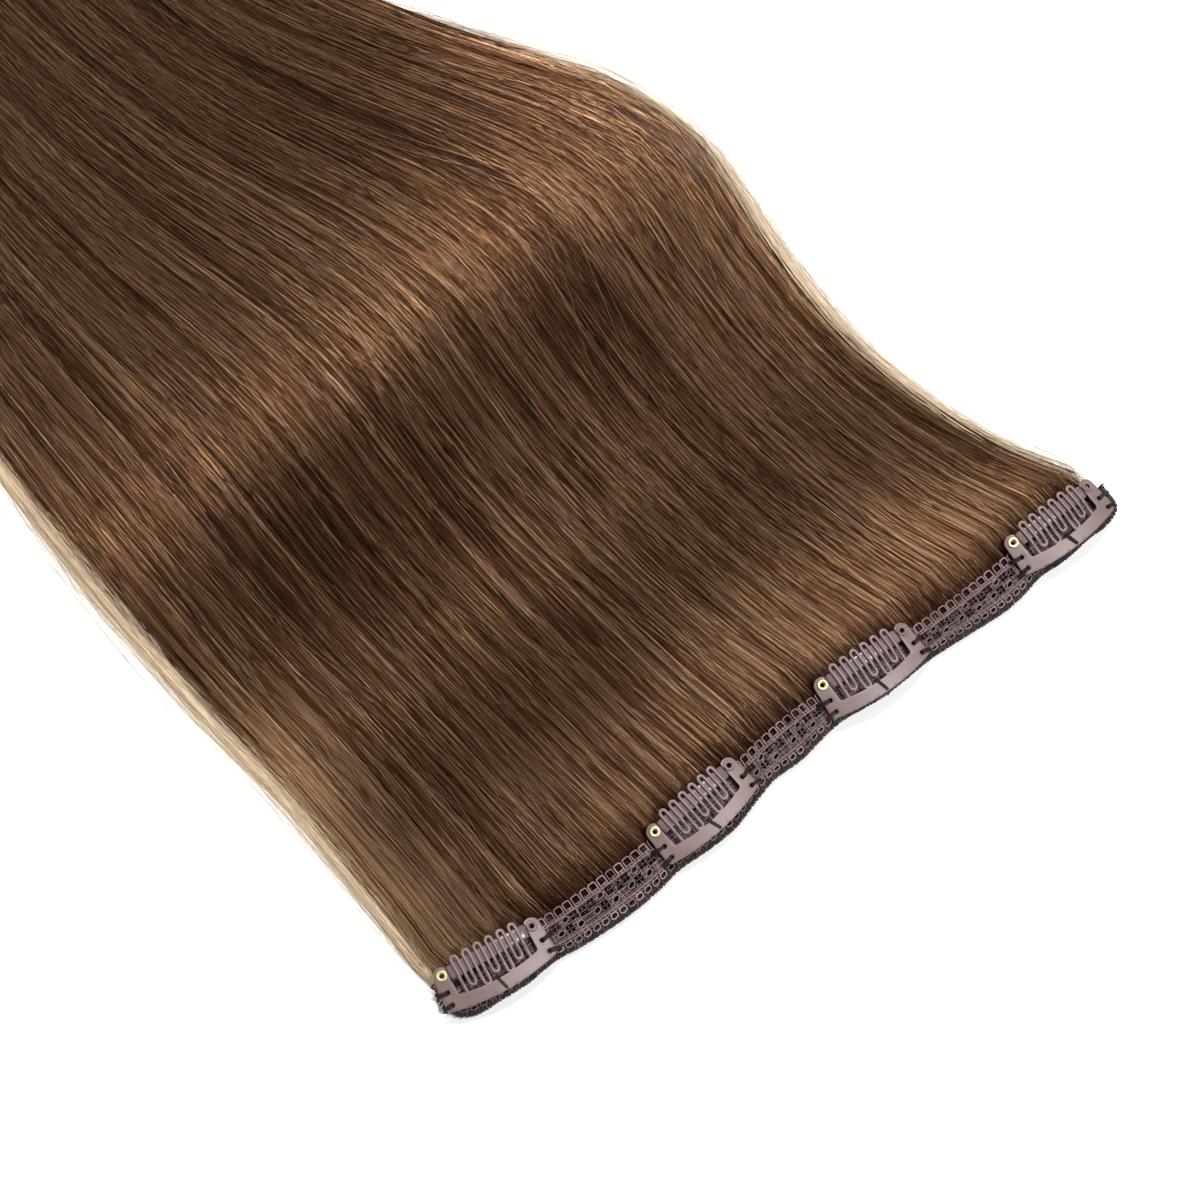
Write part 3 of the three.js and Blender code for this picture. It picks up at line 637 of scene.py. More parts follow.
def brass_material():
    nodes = Nodes("brass")
    cloud = nodes.noise(nodes.place(), 700.0, 3.0)
    colour = nodes.ramp(cloud, [(0.3, srgb(226, 206, 140)), (0.7, srgb(244, 232, 182))])
    nodes.set(Metallic=0.85)
    return nodes.finish(colour, nodes.spread(cloud, 0.34, 0.46))


def silicone_material():
    nodes = Nodes("silicone")
    cloud = nodes.noise(nodes.place(), 300.0, 2.0)
    colour = nodes.ramp(cloud, [(0.3, srgb(104, 87, 91)), (0.7, srgb(121, 104, 107))])
    nodes.bump(cloud, 0.1, 0.0003)
    nodes.set(Transmission_Weight=0.25, IOR=1.41)
    return nodes.finish(colour, nodes.spread(cloud, 0.12, 0.24))


def thread_material(name, shades, roughness):
    """Thread with its tone across the map, mottled and twisted."""
    nodes = Nodes(name)
    place = nodes.place()
    cloud = nodes.noise(place, 700.0, 3.0, 0.7)
    twist = nodes.noise(place, 2600.0, 2.0)
    tone = nodes.math("ADD", nodes.map_axis("X"), nodes.spread(cloud, -0.3, 0.3))
    colour = nodes.ramp(tone, shades)
    nodes.bump(twist, 0.5, 0.0003)
    nodes.set(Specular_IOR_Level=0.2)
    return nodes.finish(colour, nodes.spread(cloud, *roughness))


def lace_material():
    shades = [(0.0, srgb(8, 5, 6)), (0.4, srgb(56, 43, 46)), (1.0, srgb(146, 122, 125))]
    return thread_material("lace", shades, (0.5, 0.75))


def seam_material():
    shades = [(0.0, srgb(12, 9, 7)), (0.5, srgb(46, 38, 33)), (1.0, srgb(92, 79, 70))]
    return thread_material("seam_thread", shades, (0.5, 0.75))


HAIR_SHADES = [
    (0.0, srgb(18, 9, 3)),
    (0.3, srgb(50, 29, 15)),
    (0.65, srgb(90, 61, 40)),
    (1.0, srgb(156, 126, 98)),
]


def strand_material():
    """Hair whose tone lies across the map and whose length runs up it."""
    nodes = Nodes("hair_strands")
    mottle = nodes.noise(nodes.place((90.0, 14.0, 1.0), uv=True), 1.0, 2.0)
    tone = nodes.math("ADD", nodes.map_axis("X"), nodes.spread(mottle, -0.14, 0.14))
    colour = nodes.ramp(tone, HAIR_SHADES)
    nodes.set(Metallic=0.8, Specular_IOR_Level=0.3)
    return nodes.finish(colour, nodes.spread(mottle, 0.25, 0.35))


def fringe_material():
    """The thin hairs at the sides, painted pale as painted light for the light of the table shining
    through them.
    """
    nodes = Nodes("hair_fringe")
    mottle = nodes.noise(nodes.place((60.0, 9.0, 1.0), uv=True), 1.0, 2.0)
    # Painted light: pale cream for the table's light through the thin hairs.
    colour = nodes.ramp(mottle, [(0.3, srgb(176, 146, 112)), (0.7, srgb(232, 214, 186))])
    return nodes.finish(colour, nodes.spread(mottle, 0.4, 0.6))


def under_hair_material():
    """The hair between the strands, streaked along its flow, with painted shade darkening its roots
    under the lace.
    """
    nodes = Nodes("hair_under")
    fine = nodes.noise(nodes.place((1800.0, 9.0, 1.0), uv=True), 1.0, 3.0, 0.7)
    locks = nodes.noise(nodes.place((60.0, 5.0, 1.0), uv=True), 1.0, 2.0)
    tone = nodes.math("ADD", nodes.math("MULTIPLY", fine, 0.75), nodes.math("MULTIPLY", locks, 0.25))
    # Painted shade: the tone falls to dark at the roots under the lace.
    root = nodes.add("ShaderNodeMapRange")
    nodes.join(nodes.map_axis("Y"), root.inputs["Value"])
    root.inputs["From Min"].default_value = ROOT_DARK
    root.inputs["From Max"].default_value = ROOT_LIGHT
    tone = nodes.math("MULTIPLY", nodes.spread(tone, -0.05, 0.9), root.outputs["Result"])
    colour = nodes.ramp(tone, HAIR_SHADES)
    nodes.bump(fine, 0.8, 0.0004)
    return nodes.finish(colour, nodes.spread(fine, 0.42, 0.6))


# Camera, table and light.
def aim(thing, place, target):
    thing.location = place
    thing.rotation_euler = (Vector(target) - Vector(place)).to_track_quat("-Z", "Y").to_euler()


def add_camera():
    camera = bpy.data.objects.new("camera", bpy.data.cameras.new("camera"))
    bpy.context.scene.collection.objects.link(camera)
    bpy.context.scene.camera = camera
    camera.data.lens = LENS
    camera.data.sensor_width = 36.0
    azimuth, elevation = math.radians(CAMERA_AZIMUTH), math.radians(CAMERA_ELEVATION)
    back = Vector((
        math.sin(azimuth) * math.cos(elevation),
        -math.cos(azimuth) * math.cos(elevation),
        math.sin(elevation),
    ))
    target = Vector(LOOK_AT) * MM
    aim(camera, target + back * CAMERA_DISTANCE * MM, target)
    camera.data.clip_start = 0.02
    camera.data.clip_end = 20.0


def add_table():
    size = 4.0
    mesh = bpy.data.meshes.new("table")
    corners = [(-size, -size, 0), (size, -size, 0), (size, size, 0), (-size, size, 0)]
    mesh.from_pydata(corners, [], [(0, 1, 2, 3)])
    nodes = Nodes("table")
    cloud = nodes.noise(nodes.place(), 3.0, 2.0)
    colour = nodes.ramp(cloud, [(0.0, (0.78, 0.785, 0.79, 1)), (1.0, (0.82, 0.82, 0.82, 1))])
    mesh.materials.append(nodes.finish(colour))
    nodes.set(Roughness=0.8, Specular_IOR_Level=0.2)
    table = bpy.data.objects.new("table", mesh)
    bpy.context.scene.collection.objects.link(table)


def add_light(name, place, size, power, colour=(1.0, 1.0, 1.0)):
    data = bpy.data.lights.new(name, "AREA")
    data.shape = "RECTANGLE"
    data.size, data.size_y = size
    data.energy = power
    data.color = colour
    light = bpy.data.objects.new(name, data)
    bpy.context.scene.collection.objects.link(light)
    aim(light, place, LIT_PLACE)


def add_lights():
    world = bpy.data.worlds.new("studio")
    bpy.context.scene.world = world
    world.use_nodes = True
    background = world.node_tree.nodes["Background"]
    background.inputs["Color"].default_value = (0.97, 0.985, 1.0, 1.0)
    background.inputs["Strength"].default_value = 0.14
    for light in LIGHTS:
        add_light(*light)
    bpy.context.scene.view_settings.view_transform = "Standard"
    bpy.context.scene.view_settings.look = "None"


# Hair.
def lock_edges():
    widths = LOCKS[:, 0]
    return np.concatenate([[-1.0], 2 * np.cumsum(widths) / widths.sum() - 1])


def hair_relief(across, along):
    """Low waves of the surface, from the locks that lie side by side."""
    calm = np.clip((along - 0.03) / 0.08, 0, 1)
    locks = LOCK_RELIEF * ripple(across, along, 11, 7, (6, 24), (0.2, 1.6))
    fine = FINE_RELIEF * ripple(across, along, 12, 8, (30, 70), (0.3, 2.2))
    return calm * (locks + fine)


def hair_swell(across, along):
    """The swell across the hair and the dip before it."""
    swell = SWELL_RISE * np.exp(-((along - SWELL_PLACE) / SWELL_REACH) ** 2)
    dip = DIP_DEPTH * np.exp(-((along - DIP_PLACE[1]) / DIP_REACH[1]) ** 2)
    return swell - dip * np.exp(-((across - DIP_PLACE[0]) / DIP_REACH[0]) ** 2)


def hair_point(across, along, depth=0.0, aside=0.0):
    """A point of the hair: across from -1 to 1, depth under its surface, aside in millimetres."""
    left = read_table(HAIR_FLOW, 1, along)
    right = read_table(HAIR_FLOW, 2, along)
    rise = read_table(HAIR_FLOW, 3, along)
    edge = read_table(HAIR_FLOW, 4, along)
    x = BAND_LENGTH / 2 * (left + (right - left) * (across + 1) / 2) + aside
    root = band_drift(x) + edge_rise(x, ROOT_Y) * np.clip(1 - along / 0.1, 0, 1)
    y = ROOT_Y + root * (1 - along) + along * HAIR_LENGTH
    within = np.clip(np.abs(across), 0, 1)
    dome = (1 - within ** 3) ** 0.7
    height = (SEAM_HEIGHT + rise * (HAIR_CREST - SEAM_HEIGHT)) * (edge + (1 - edge) * dome)
    tip = 1 - TIP_FALL * np.clip((along - 0.8) / 0.2, 0, 1)
    z = np.maximum(height * tip, TIP_HEIGHT) + hair_relief(across, along) * dome
    z = z + hair_swell(across, along) * dome ** 0.3 - depth
    return np.stack(np.broadcast_arrays(x, y, np.maximum(z, 0.15)), -1)


def lock_pull(across, along):
    """Across moved towards the middle of its lock near the tips, and how far that lock reaches."""
    edges = lock_edges()
    lock = np.clip(np.searchsorted(edges, across) - 1, 0, len(LOCKS) - 1)
    middle = (edges[lock] + edges[lock + 1]) / 2
    pull = TIP_PULL * np.clip((along - TIP_START) / (1 - TIP_START), 0, 1) ** 1.3
    return across + (middle - across) * pull, LOCKS[lock, 1]


def painted_hollow_shade(across, along):
    """How much darker a place's tone is painted, as painted shade at the places before and after the
    swell.
    """
    shade = 0.0
    for place, reach, depth in PAINTED_SHADE_SPOTS:
        apart = ((across - place[0]) / reach[0]) ** 2 + ((along - place[1]) / reach[1]) ** 2
        shade = shade + depth * np.exp(-apart)
    return shade


def painted_highlight_near_left(across, along):
    """How much a place lies at the left side near the band, 0 to 1, where the tone is lightened as a
    painted highlight.
    """
    return np.clip((-across - 0.75) / 0.2, 0, 1) * np.clip((0.24 - along) / 0.06, 0, 1)


def swaying(random, count, turns, along):
    """A wave along each of count strands, each with a phase of its own."""
    return np.sin(2 * np.pi * (turns * along + random.uniform(0, 1, (count, 1))))


def strands(random, count, spread, depths, radius, wander, reach_loss, lift=0.0):
    """Paths, radii and map places of count strands, lift being added to their tone."""
    across = random.uniform(-1, 1, count) * (spread - EDGE_THINNING * random.uniform(0, 1, count))
    across = np.clip(across, -0.999, 0.999)
    pulled, reach = lock_pull(across, 1.0)
    reach = reach * (1 - LOCK_POINT * (np.abs(pulled - across) / LOCK_POINT_PULL) ** 2)
    reach = reach * (1 - reach_loss * random.uniform(0, 1, count) ** 2)
    along = STATIONS[None, :] * reach[:, None]
    across = across[:, None]
    pulled, _ = lock_pull(across, along)
    free = np.clip((along - 0.02) / 0.1, 0, 1)
    shared = 0.7 * ripple(across, along, 21, 6, (2, 9), (0.4, 1.4))
    shared = shared + 0.06 * ripple(across, along, 22, 8, (20, 60), (0.6, 2.4))
    turns = random.uniform(0.8, 3.2, (count, 1))
    own = wander * random.normal(0, 1, (count, 1)) * swaying(random, count, turns, along)
    depth = random.uniform(*depths, (count, 1)) + 0.05 * swaying(random, count, 1.7 * turns, along)
    tip = np.clip((along - TIP_LOOSE_FROM) / (1 - TIP_LOOSE_FROM), 0, 1)
    own = own * (1 + TIP_LOOSENESS * tip)
    paths = hair_point(pulled, along, depth * (1 - TIP_SURFACING * tip), free * (shared + own))
    thick = radius * random.uniform(0.75, 1.25, (count, 1)) * np.ones_like(along)
    thick = thick * np.clip((1.1 - STATIONS) / 0.25, 0.4, 1)
    tone = STRAND_TONE + lift + STRAND_TONE_SPREAD * random.normal(0, 1, (count, 1))
    tone = tone + 0.05 * ripple(across, along, 31, 6, (6, 40), (0.1, 0.8))
    # Painted highlight: lighter at the left side near the band.
    # Painted shade: darker at the places before and after the swell.
    tone = tone + EDGE_PAINTED_HIGHLIGHT * painted_highlight_near_left(across, along) - painted_hollow_shade(across, along)
    # Painted shade: darker at the roots under the lace.
    tone = tone - ROOT_PAINTED_SHADE * np.clip((ROOT_LIGHT - along) / (ROOT_LIGHT - ROOT_DARK), 0, 1)
    # Painted light towards the tips, over their shade, and partly their own lighter colour.
    tone = tone + TIP_LIGHT * np.clip((along - 0.8) / 0.15, 0, 1)
    uv = np.stack([np.clip(tone, 0.01, 0.99), along * np.ones_like(tone)], -1)
    return paths, thick, uv


def edge_wisps(random, count):
    """Loose thin strands that leave the sides of the hair and mostly come back to them."""
    side = random.choice([-1.0, 1.0], (count, 1), p=LEFT_RIGHT_WISPS)
    start = random.uniform(-0.1, 0.6, (count, 1))
    length = np.minimum(random.uniform(0.15, 0.6, (count, 1)), 0.8 - start)
    along = np.clip(start + length * STATIONS[None, :], 0.004, 0.99)
    share = np.clip((along - start) / length, 0, 1)
    out = WISP_REACH * (random.exponential(0.5, (count, 1)) - 0.25).clip(-0.2, 2.4)
    swing = np.sin(np.pi * share ** random.uniform(0.7, 1.5, (count, 1)))
    inward = random.uniform(0.0, 0.04, (count, 1))
    free = np.clip(along / 0.04, 0, 1)
    across = side * (1 - free * inward * (1 - swing) - 0.002)
    paths = hair_point(across, along, -0.1, side * free * out * swing)
    low = 0.15 + random.uniform(0.0, 1.6, (count, 1)) * (0.4 + 0.6 * swing)
    loose = np.clip(out * swing, 0, 1)
    paths[:, :, 2] = (1 - loose) * paths[:, :, 2] + loose * np.minimum(low, paths[:, :, 2] + 0.3)
    thick = np.full_like(along, WISP_RADIUS) * random.uniform(0.7, 1.4, (count, 1))
    tone = np.clip(0.88 + 0.12 * random.normal(0, 1, (count, 1)), 0.4, 0.99)
    return paths, thick, np.stack([tone * np.ones_like(along), along], -1)


def hair_shell(across, along, depth, inset, bottom):
    """Points, faces and map of a closed body between the hair's top, less depth, and a flat bottom."""
    top = hair_point(across * inset, along, depth)
    top[:, :, 2] = np.maximum(top[:, :, 2], 0.2)
    base = top.copy()
    base[:, :, 2] = bottom
    points = np.concatenate([top.reshape(-1, 3), base.reshape(-1, 3)])
    size = across.size
    index = np.arange(size).reshape(across.shape)

    def quads(grid):
        return np.stack([grid[:-1, :-1], grid[:-1, 1:], grid[1:, 1:], grid[1:, :-1]], -1).reshape(-1, 4)

    rim = np.concatenate([index[0], index[1:, -1], index[-1, -2::-1], index[-2:0:-1, 0]])
    after = np.roll(rim, -1)
    walls = np.stack([rim, rim + size, after + size, after], 1)
    faces = np.concatenate([quads(index), quads(index + size)[:, ::-1], walls])
    flat = np.stack([(across + 1) / 4, along], -1).reshape(-1, 2)
    return points, faces, np.concatenate([flat, flat + (0.5, 0.0)])


def lock_shells():
    """A tapering closed body under each lock's strands, from inside the main body to near its tip."""
    edges = lock_edges()
    for lock, reach in enumerate(LOCKS[:, 1]):
        share = np.linspace(0, 1, 12)[:, None]
        along = TIP_START - 0.005 + share * (0.94 * reach - TIP_START)
        middle = (edges[lock] + edges[lock + 1]) / 2
        half = (edges[lock + 1] - edges[lock]) / 2 * 0.98 * (1.02 - share) ** 0.6
        across = middle + half * np.linspace(-1, 1, 9)
        along = np.broadcast_to(along, across.shape)
        yield hair_shell(lock_pull(across, along)[0], along, 0.8 + share, 1.0, 0.08)


def add_hair(strand, fringe, under):
    """The hair: a body with tapering locks, layers of strands over it and wisps at its sides."""
    columns, rows = 200, 48
    across = np.sin(np.linspace(-0.5, 0.5, columns) * np.pi) * 0.3 + np.linspace(-1, 1, columns) * 0.7
    along = np.linspace(0, 1, rows)[:, None] ** 1.1 * TIP_START
    across, along = np.broadcast_arrays(across, along)
    inset = 1 - 0.035 * np.clip(along / 0.08, 0, 1)
    shells = [hair_shell(across, along, BODY_DEPTH, inset, TABLE_GAP), *lock_shells()]
    starts = np.cumsum([0] + [len(points) for points, _, _ in shells])
    points = np.concatenate([points for points, _, _ in shells])
    faces = np.concatenate([faces + first for (_, faces, _), first in zip(shells, starts)])
    uv = np.concatenate([uv for _, _, uv in shells])
    fasten(mesh_piece("hair_body", points, [faces], under, uv), "hair", "hair")

    random = np.random.default_rng(SEED)
    for name, *settings in HAIR_LAYERS:
        fasten(strand_mesh(name, *strands(random, *settings), strand), "hair")
    fasten(strand_mesh("hair_wisps", *edge_wisps(random, WISPS), fringe), "hair")


# The band: lace, seam and the threads that sew the clips on.
def lay_on_band(points):
    """Points of the flat band, moved onto its wave, with its lower edge drawn up by the clips."""
    x, y, z = points.T
    return np.column_stack([x, y + band_drift(x) + edge_rise(x, y), z])


def stretches():
    """The stretches of the band, each with whether it lies open between two clips."""
    places = [place * BAND_LENGTH for place, _ in CLIPS]
    result = []
    start = -BAND_LENGTH / 2
    for near, far in zip(places, places[1:]):
        result.append((start, near + CLIP_REACH, False))
        start = far - CLIP_REACH
        result.append((near + CLIP_REACH, start, True))
    result.append((start, BAND_LENGTH / 2, False))
    return result


def cells(pitch, under_clips=True):
    """The middle and the width of each repeat along the band."""
    result = []
    for start, end, is_open in stretches():
        if is_open or under_clips:
            count = round((end - start) / pitch)
            step = (end - start) / count
            result.extend((start + (number + 0.5) * step, step) for number in range(count))
    return result


def motif_holes():
    """The ovals and squares that are left open in the lace's cloth."""
    ovals, squares = [], []
    apart = (LATTICE_HOLE + LATTICE_BAR) / 2
    for middle, step in cells(MOTIF_PITCH, under_clips=False):
        for kind, along, across in MOTIF:
            x, y = middle + (along - 0.5) * step, across * LACE_WIDTH
            if kind == "oval":
                ovals.append((x, y))
            else:
                squares.extend((x + i * apart, y + j * apart) for i in (-1, 1) for j in (-1, 1))
    return ovals, squares


def wavy_thread(body, y, z, swing, phase, radius, spacing, sides):
    """A thread along the whole band that swings once in every picot."""
    steps = round(BAND_LENGTH / spacing)
    x = np.linspace(-BAND_LENGTH / 2 + radius, BAND_LENGTH / 2 - radius, steps + 1)
    turns = 2 * np.pi * (x / PICOT_PITCH + phase)
    path = np.column_stack([x, y + swing * np.sin(turns), z + 0.5 * radius * np.cos(turns)])
    body.tube(path, radius, sides)


def open_runs(start, stop, gaps):
    """What is left of a line from start to stop between sorted gaps."""
    runs = []
    for low, high in [*sorted(gaps), (stop, stop)]:
        if low > start + 0.25:
            runs.append((start, min(low, stop)))
        start = max(start, high)
    return runs


def add_net(lace, ovals, squares, top):
    """Chains along the cloth and ribs across it, both stopping at the holes."""
    low, high = CLOTH
    end = BAND_LENGTH / 2 - 0.3
    half = LATTICE_HOLE / 2
    rows = np.linspace(low + 0.5, high - 0.45, 8)
    for row, y in enumerate(rows):
        gaps = []
        for x, oval_y in ovals:
            if abs(oval_y - y) < OVAL[1] / 2 + 0.1:
                gaps.append((x - OVAL[0] / 2, x + OVAL[0] / 2))
        for x, square_y in squares:
            if abs(square_y - y) < half:
                gaps.append((x - half, x + half))
        for start, stop in open_runs(-end, end, gaps):
            stations = np.linspace(start, stop, max(2, round((stop - start) / 0.5)))
            sway = 0.09 * np.sin(2 * np.pi * stations / 1.4 + 2.0 * row)
            lace.tone = 0.62 + 0.2 * math.sin(2.4 * row)
            lace.tube(np.column_stack([stations, y + sway, np.full(len(stations), top)]), 0.14, 4)
    random = np.random.default_rng(SEED + 3)
    x = -end + 0.3
    while x < end:
        near_ovals = [y for oval_x, y in ovals if abs(oval_x - x) < OVAL[0] / 2]
        gaps = [(y - OVAL[1] / 2, y + OVAL[1] / 2) for y in near_ovals]
        gaps += [(y - half, y + half) for square_x, y in squares if abs(square_x - x) < half]
        lace.tone = random.uniform(0.35, 0.85)
        for start, stop in open_runs(low + 0.1, high - 0.1, gaps):
            lean = random.normal(0.05, 0.07) * (stop - start)
            lace.tube(np.array([(x, start, top), (x + lean, stop, top)]), random.uniform(0.1, 0.17), 4)
        x += random.uniform(0.5, 0.95)


def add_picots(lace, height):
    """The open square loops of the upper edge and the rounder ones of the lower edge."""
    low, high = CLOTH
    random = np.random.default_rng(SEED)
    edge = LACE_WIDTH / 2 - THREAD_RADIUS
    rung = high + 0.7
    for x, step in cells(PICOT_PITCH):
        x = x + random.normal(0, 0.05)
        half = step / 2 - 0.34 + random.normal(0, 0.03)
        loop = np.concatenate([
            [(half, high - 0.2), (half, high + 1.2)], arc(half - 0.5, edge - 0.5, 0.5, 0, 90, 3),
            arc(0.5 - half, edge - 0.5, 0.5, 90, 180, 3), [(-half, high + 1.2), (-half, high - 0.2)],
        ])
        tilt = random.normal(0.03, 0.05)
        place = np.column_stack([x + loop[:, 0] + tilt * (loop[:, 1] - high), loop[:, 1]])
        lace.tone = 0.82 + random.normal(0, 0.1)
        lace.tube(np.column_stack([place, np.full(len(loop), height)]), THREAD_RADIUS, 5)
        rung_ends = [(x - half, rung, height - 0.1), (x + half, rung + 0.05, height - 0.1)]
        lace.tube(np.array(rung_ends), 0.17, 4)
        lace.tube(np.array([(x, high, height), (x, rung, height)]), 0.15, 4)
        lean = 14.0 + random.normal(0, 4)
        ring = ellipse(x, -edge + 0.72, step / 2 - 0.3, 0.76, 12, lean)
        lace.tube(np.column_stack([ring, np.full(len(ring), height)]), THREAD_RADIUS, 5, closed=True)
        for bar in (x - step / 4, x + step / 4):
            lace.tube(np.array([(bar, low, height), (bar + 0.2, low - 1.0, height)]), 0.15, 4)


def add_lace(finish):
    lace = Body()
    ovals, squares = motif_holes()
    low, high = CLOTH
    end = BAND_LENGTH / 2 - 0.3
    half = LATTICE_HOLE / 2
    square = np.array([(-half, -half), (-half, half), (half, half), (half, -half)])
    outline = np.array([(-end, low), (end, low), (end, high), (-end, high)])
    holes = [ellipse(x, y, OVAL[0] / 2, OVAL[1] / 2, 14, 20.0) for x, y in ovals]
    holes += [square + place for place in squares]
    # Painted shade: the cloth between the net's threads is painted nearly black for the shade in its
    # gaps.
    lace.tone = 0.03
    add_sheet(lace, [outline, *holes], lambda x, y: CLOTH_BOTTOM + 0 * x, CLOTH_THICKNESS, 0.7, 0.08)
    top = CLOTH_BOTTOM + CLOTH_THICKNESS
    lace.tone = 0.75
    for hole in holes[:len(ovals)]:
        lace.tube(np.column_stack([hole, np.full(len(hole), top)]), 0.17, 4, closed=True)
    add_net(lace, ovals, squares, top)
    height = top + 0.08
    lace.tone = 0.66
    for y in (low - 0.1, high + 0.02):
        for phase in (0.0, 0.5):
            wavy_thread(lace, y, height, 0.17, phase, CORD_RADIUS, 0.55, 5)
    wavy_thread(lace, low - 0.85, height - 0.1, 0.08, 0.75, 0.17, 0.7, 4)
    add_picots(lace, height)
    lace = lace.piece("lace_threads", finish, lay_on_band)
    fasten(lace, "lace", "lace_band")


def even(path, spacing):
    """An open path with its points evenly apart."""
    along = np.concatenate([[0.0], np.cumsum(np.linalg.norm(np.diff(path, axis=0), axis=1))])
    marks = np.linspace(0, along[-1], round(along[-1] / spacing) + 1)
    return np.stack([np.interp(marks, along, column) for column in path.T], 1)


def seam_path():
    """The middle of the seam, along the lower edge of the lace and up both its ends."""
    middle = SEAM_WIDTH / 2 - SEAM_PAST_LACE - LACE_WIDTH / 2
    left, right, low, top = *SEAM_ENDS, middle + SEAM_CORNER, LACE_WIDTH / 2 - 1
    plan = np.concatenate([
        [(left, top)], arc(left + SEAM_CORNER, low, SEAM_CORNER, 180, 270, 5),
        arc(right - SEAM_CORNER, low, SEAM_CORNER, 270, 360, 5), [(right, top)],
    ])
    plan = even(plan, SEAM_PITCH / 2)
    rise = np.clip((plan[:, 1] - middle) / (2 * SEAM_CORNER), 0, 1)
    path = lay_on_band(np.column_stack([plan, SEAM_HEIGHT / 2 + SEAM_END_LIFT * rise]))
    return path, SEAM_WIDTH / 2 - SEAM_THINNER * rise


def add_seam(finish):
    """The overlocked seam: a core painted dark as the shade in the grooves, with threads wrapped over
    it, leaning both ways.
    """
    seam = Body()
    path, reach = seam_path()
    # Painted shade: the core shows between the wraps and is painted dark for the shade in the grooves.
    seam.tone = 0.12
    seam.tube(path, reach - 0.35, 8)
    ahead = np.gradient(path, axis=0)
    ahead /= np.linalg.norm(ahead, axis=1, keepdims=True)
    aside = np.column_stack([-ahead[:, 1], ahead[:, 0], np.zeros(len(path))])
    random = np.random.default_rng(SEED + 1)
    turns = 2 * np.pi * np.arange(10) / 10
    for mark in range(1, len(path) - 1):
        over = mark % 2 == 0
        lean, radius = (0.45, 0.42) if over else (-0.4, 0.4)
        out = reach[mark] - radius
        slant = (lean + random.normal(0, 0.1)) * np.cos(turns)
        lift = np.array([0.0, 0.0, 1.0])
        ring = path[mark] + random.normal(0, 0.05, 3) * (1, 1, 0)
        ring = ring + out * (np.cos(turns)[:, None] * aside[mark] + np.sin(turns)[:, None] * lift)
        seam.tone = (0.6 if over else 0.4) + random.normal(0, 0.12)
        seam.tube(ring + slant[:, None] * ahead[mark], radius, 5, closed=True)
    fasten(seam.piece("seam_wraps", finish), "seam_thread", "weft_seam")


def add_bundle(body, path, count, width, random):
    """A few threads side by side along a short path."""
    path = np.array(path)
    along = path[-1, :2] - path[0, :2]
    side = np.array([-along[1], along[0], 0.0]) / np.linalg.norm(along)
    dense = np.repeat(path, 2, axis=0)[:-1]
    dense[1::2] += np.diff(path, axis=0) / 2
    smooth = dense.copy()
    smooth[1:-1] = (dense[:-2] + 2 * dense[1:-1] + dense[2:]) / 4
    for number in range(count):
        aside = (number - (count - 1) / 2) * width / count + random.normal(0, 0.04)
        twist = random.normal(0, 0.12)
        sway = np.linspace(-twist, twist, len(smooth))[:, None] * side
        lift = np.array([0.0, 0.0, 0.12 * math.cos(aside * 2.5)])
        body.tone = random.uniform(0.12, 0.5)
        body.tube(smooth + aside * side + sway + lift, width / count * 0.62, 5)


def add_frays(body, side, heights, reach, random):
    """Short cut thread ends at the end of the band, beside the outermost clip."""
    for _ in range(FRAY_THREADS):
        y = random.uniform(*heights)
        start = np.array([side * (PLATE_HALF + SIDE_FLARE + 0.2), y, random.uniform(-2.4, 0.6)])
        out = [side * random.uniform(*reach), random.normal(-0.1, 0.4), random.normal(-0.2, 0.4)]
        out = np.array(out)
        bend = np.array([0.0, random.normal(0, 0.3), random.normal(0.2, 0.2)])
        body.tone = random.uniform(0.1, 0.6)
        body.tube(np.stack([start, start + out / 2 + bend, start + out]), 0.26, 6)


def add_stitches(finish):
    """Threads from the sewing holes to the band, and one over the middle of each plate."""
    random = np.random.default_rng(SEED + 2)
    stitches = Body()
    for number, (place, turn) in enumerate(CLIPS):
        move = clip_mover(place, turn)
        sewn = Body()
        for side in (-1, 1):
            at_end = (number, side) in ((0, -1), (len(CLIPS) - 1, 1))
            for (x, y), drift in zip(SEWING_HOLES, (1.0, -0.5)):
                top = float(sheet_height(x, y)) + SHEET
                edge = PLATE_HALF + SIDE_FLARE
                rim = float(sheet_height(edge, y)) + SHEET
                path = [(side * x, y, top - 0.5), (side * (x + 0.5), y, top + 0.1)]
                path.append((side * edge, y + 0.4 * drift, rim + 0.15))
                if at_end:
                    path.append((side * (edge + 1.1), y - 0.2, rim - 0.7))
                    path.append((side * (edge + 0.9), y - 0.4, -2.2))
                else:
                    reach = x + random.uniform(2.9, 3.6)
                    path.append((side * (edge + 0.6), y + 0.6 * drift, 0.5))
                    path.append((side * reach, y + drift, 0.15))
                    path.append((side * (reach + 0.3), y + drift, -0.7))
                add_bundle(sewn, path, 4, 1.15, random)
            if at_end:
                add_frays(sewn, side, *FRAYS[side], random)
        over = [(x, y, float(sheet_height(x, y)) + SHEET + lift) for x, y, lift in MIDDLE_STITCH]
        over += [(0.55, -ARCH_DEPTH - 0.35, 0.5), (0.6, -ARCH_DEPTH - 0.5, -1.6)]
        add_bundle(sewn, over, 3, 0.85, random)
        stitches.join(sewn, move)
    fasten(stitches.piece("clip_stitches", finish), "seam_thread")


# Clips.
def bow(x):
    return CLIP_BOW * (1 - (x / PLATE_HALF) ** 2)


def sheet_height(x, y):
    grip_edge = GRIP_OFFSET + GRIP_WIDTH / 2
    drop = np.clip((-y - grip_edge) / (ARCH_DEPTH - grip_edge), 0, 1)
    return bow(x) + SHEET_LIFT - ARCH_DROP * drop


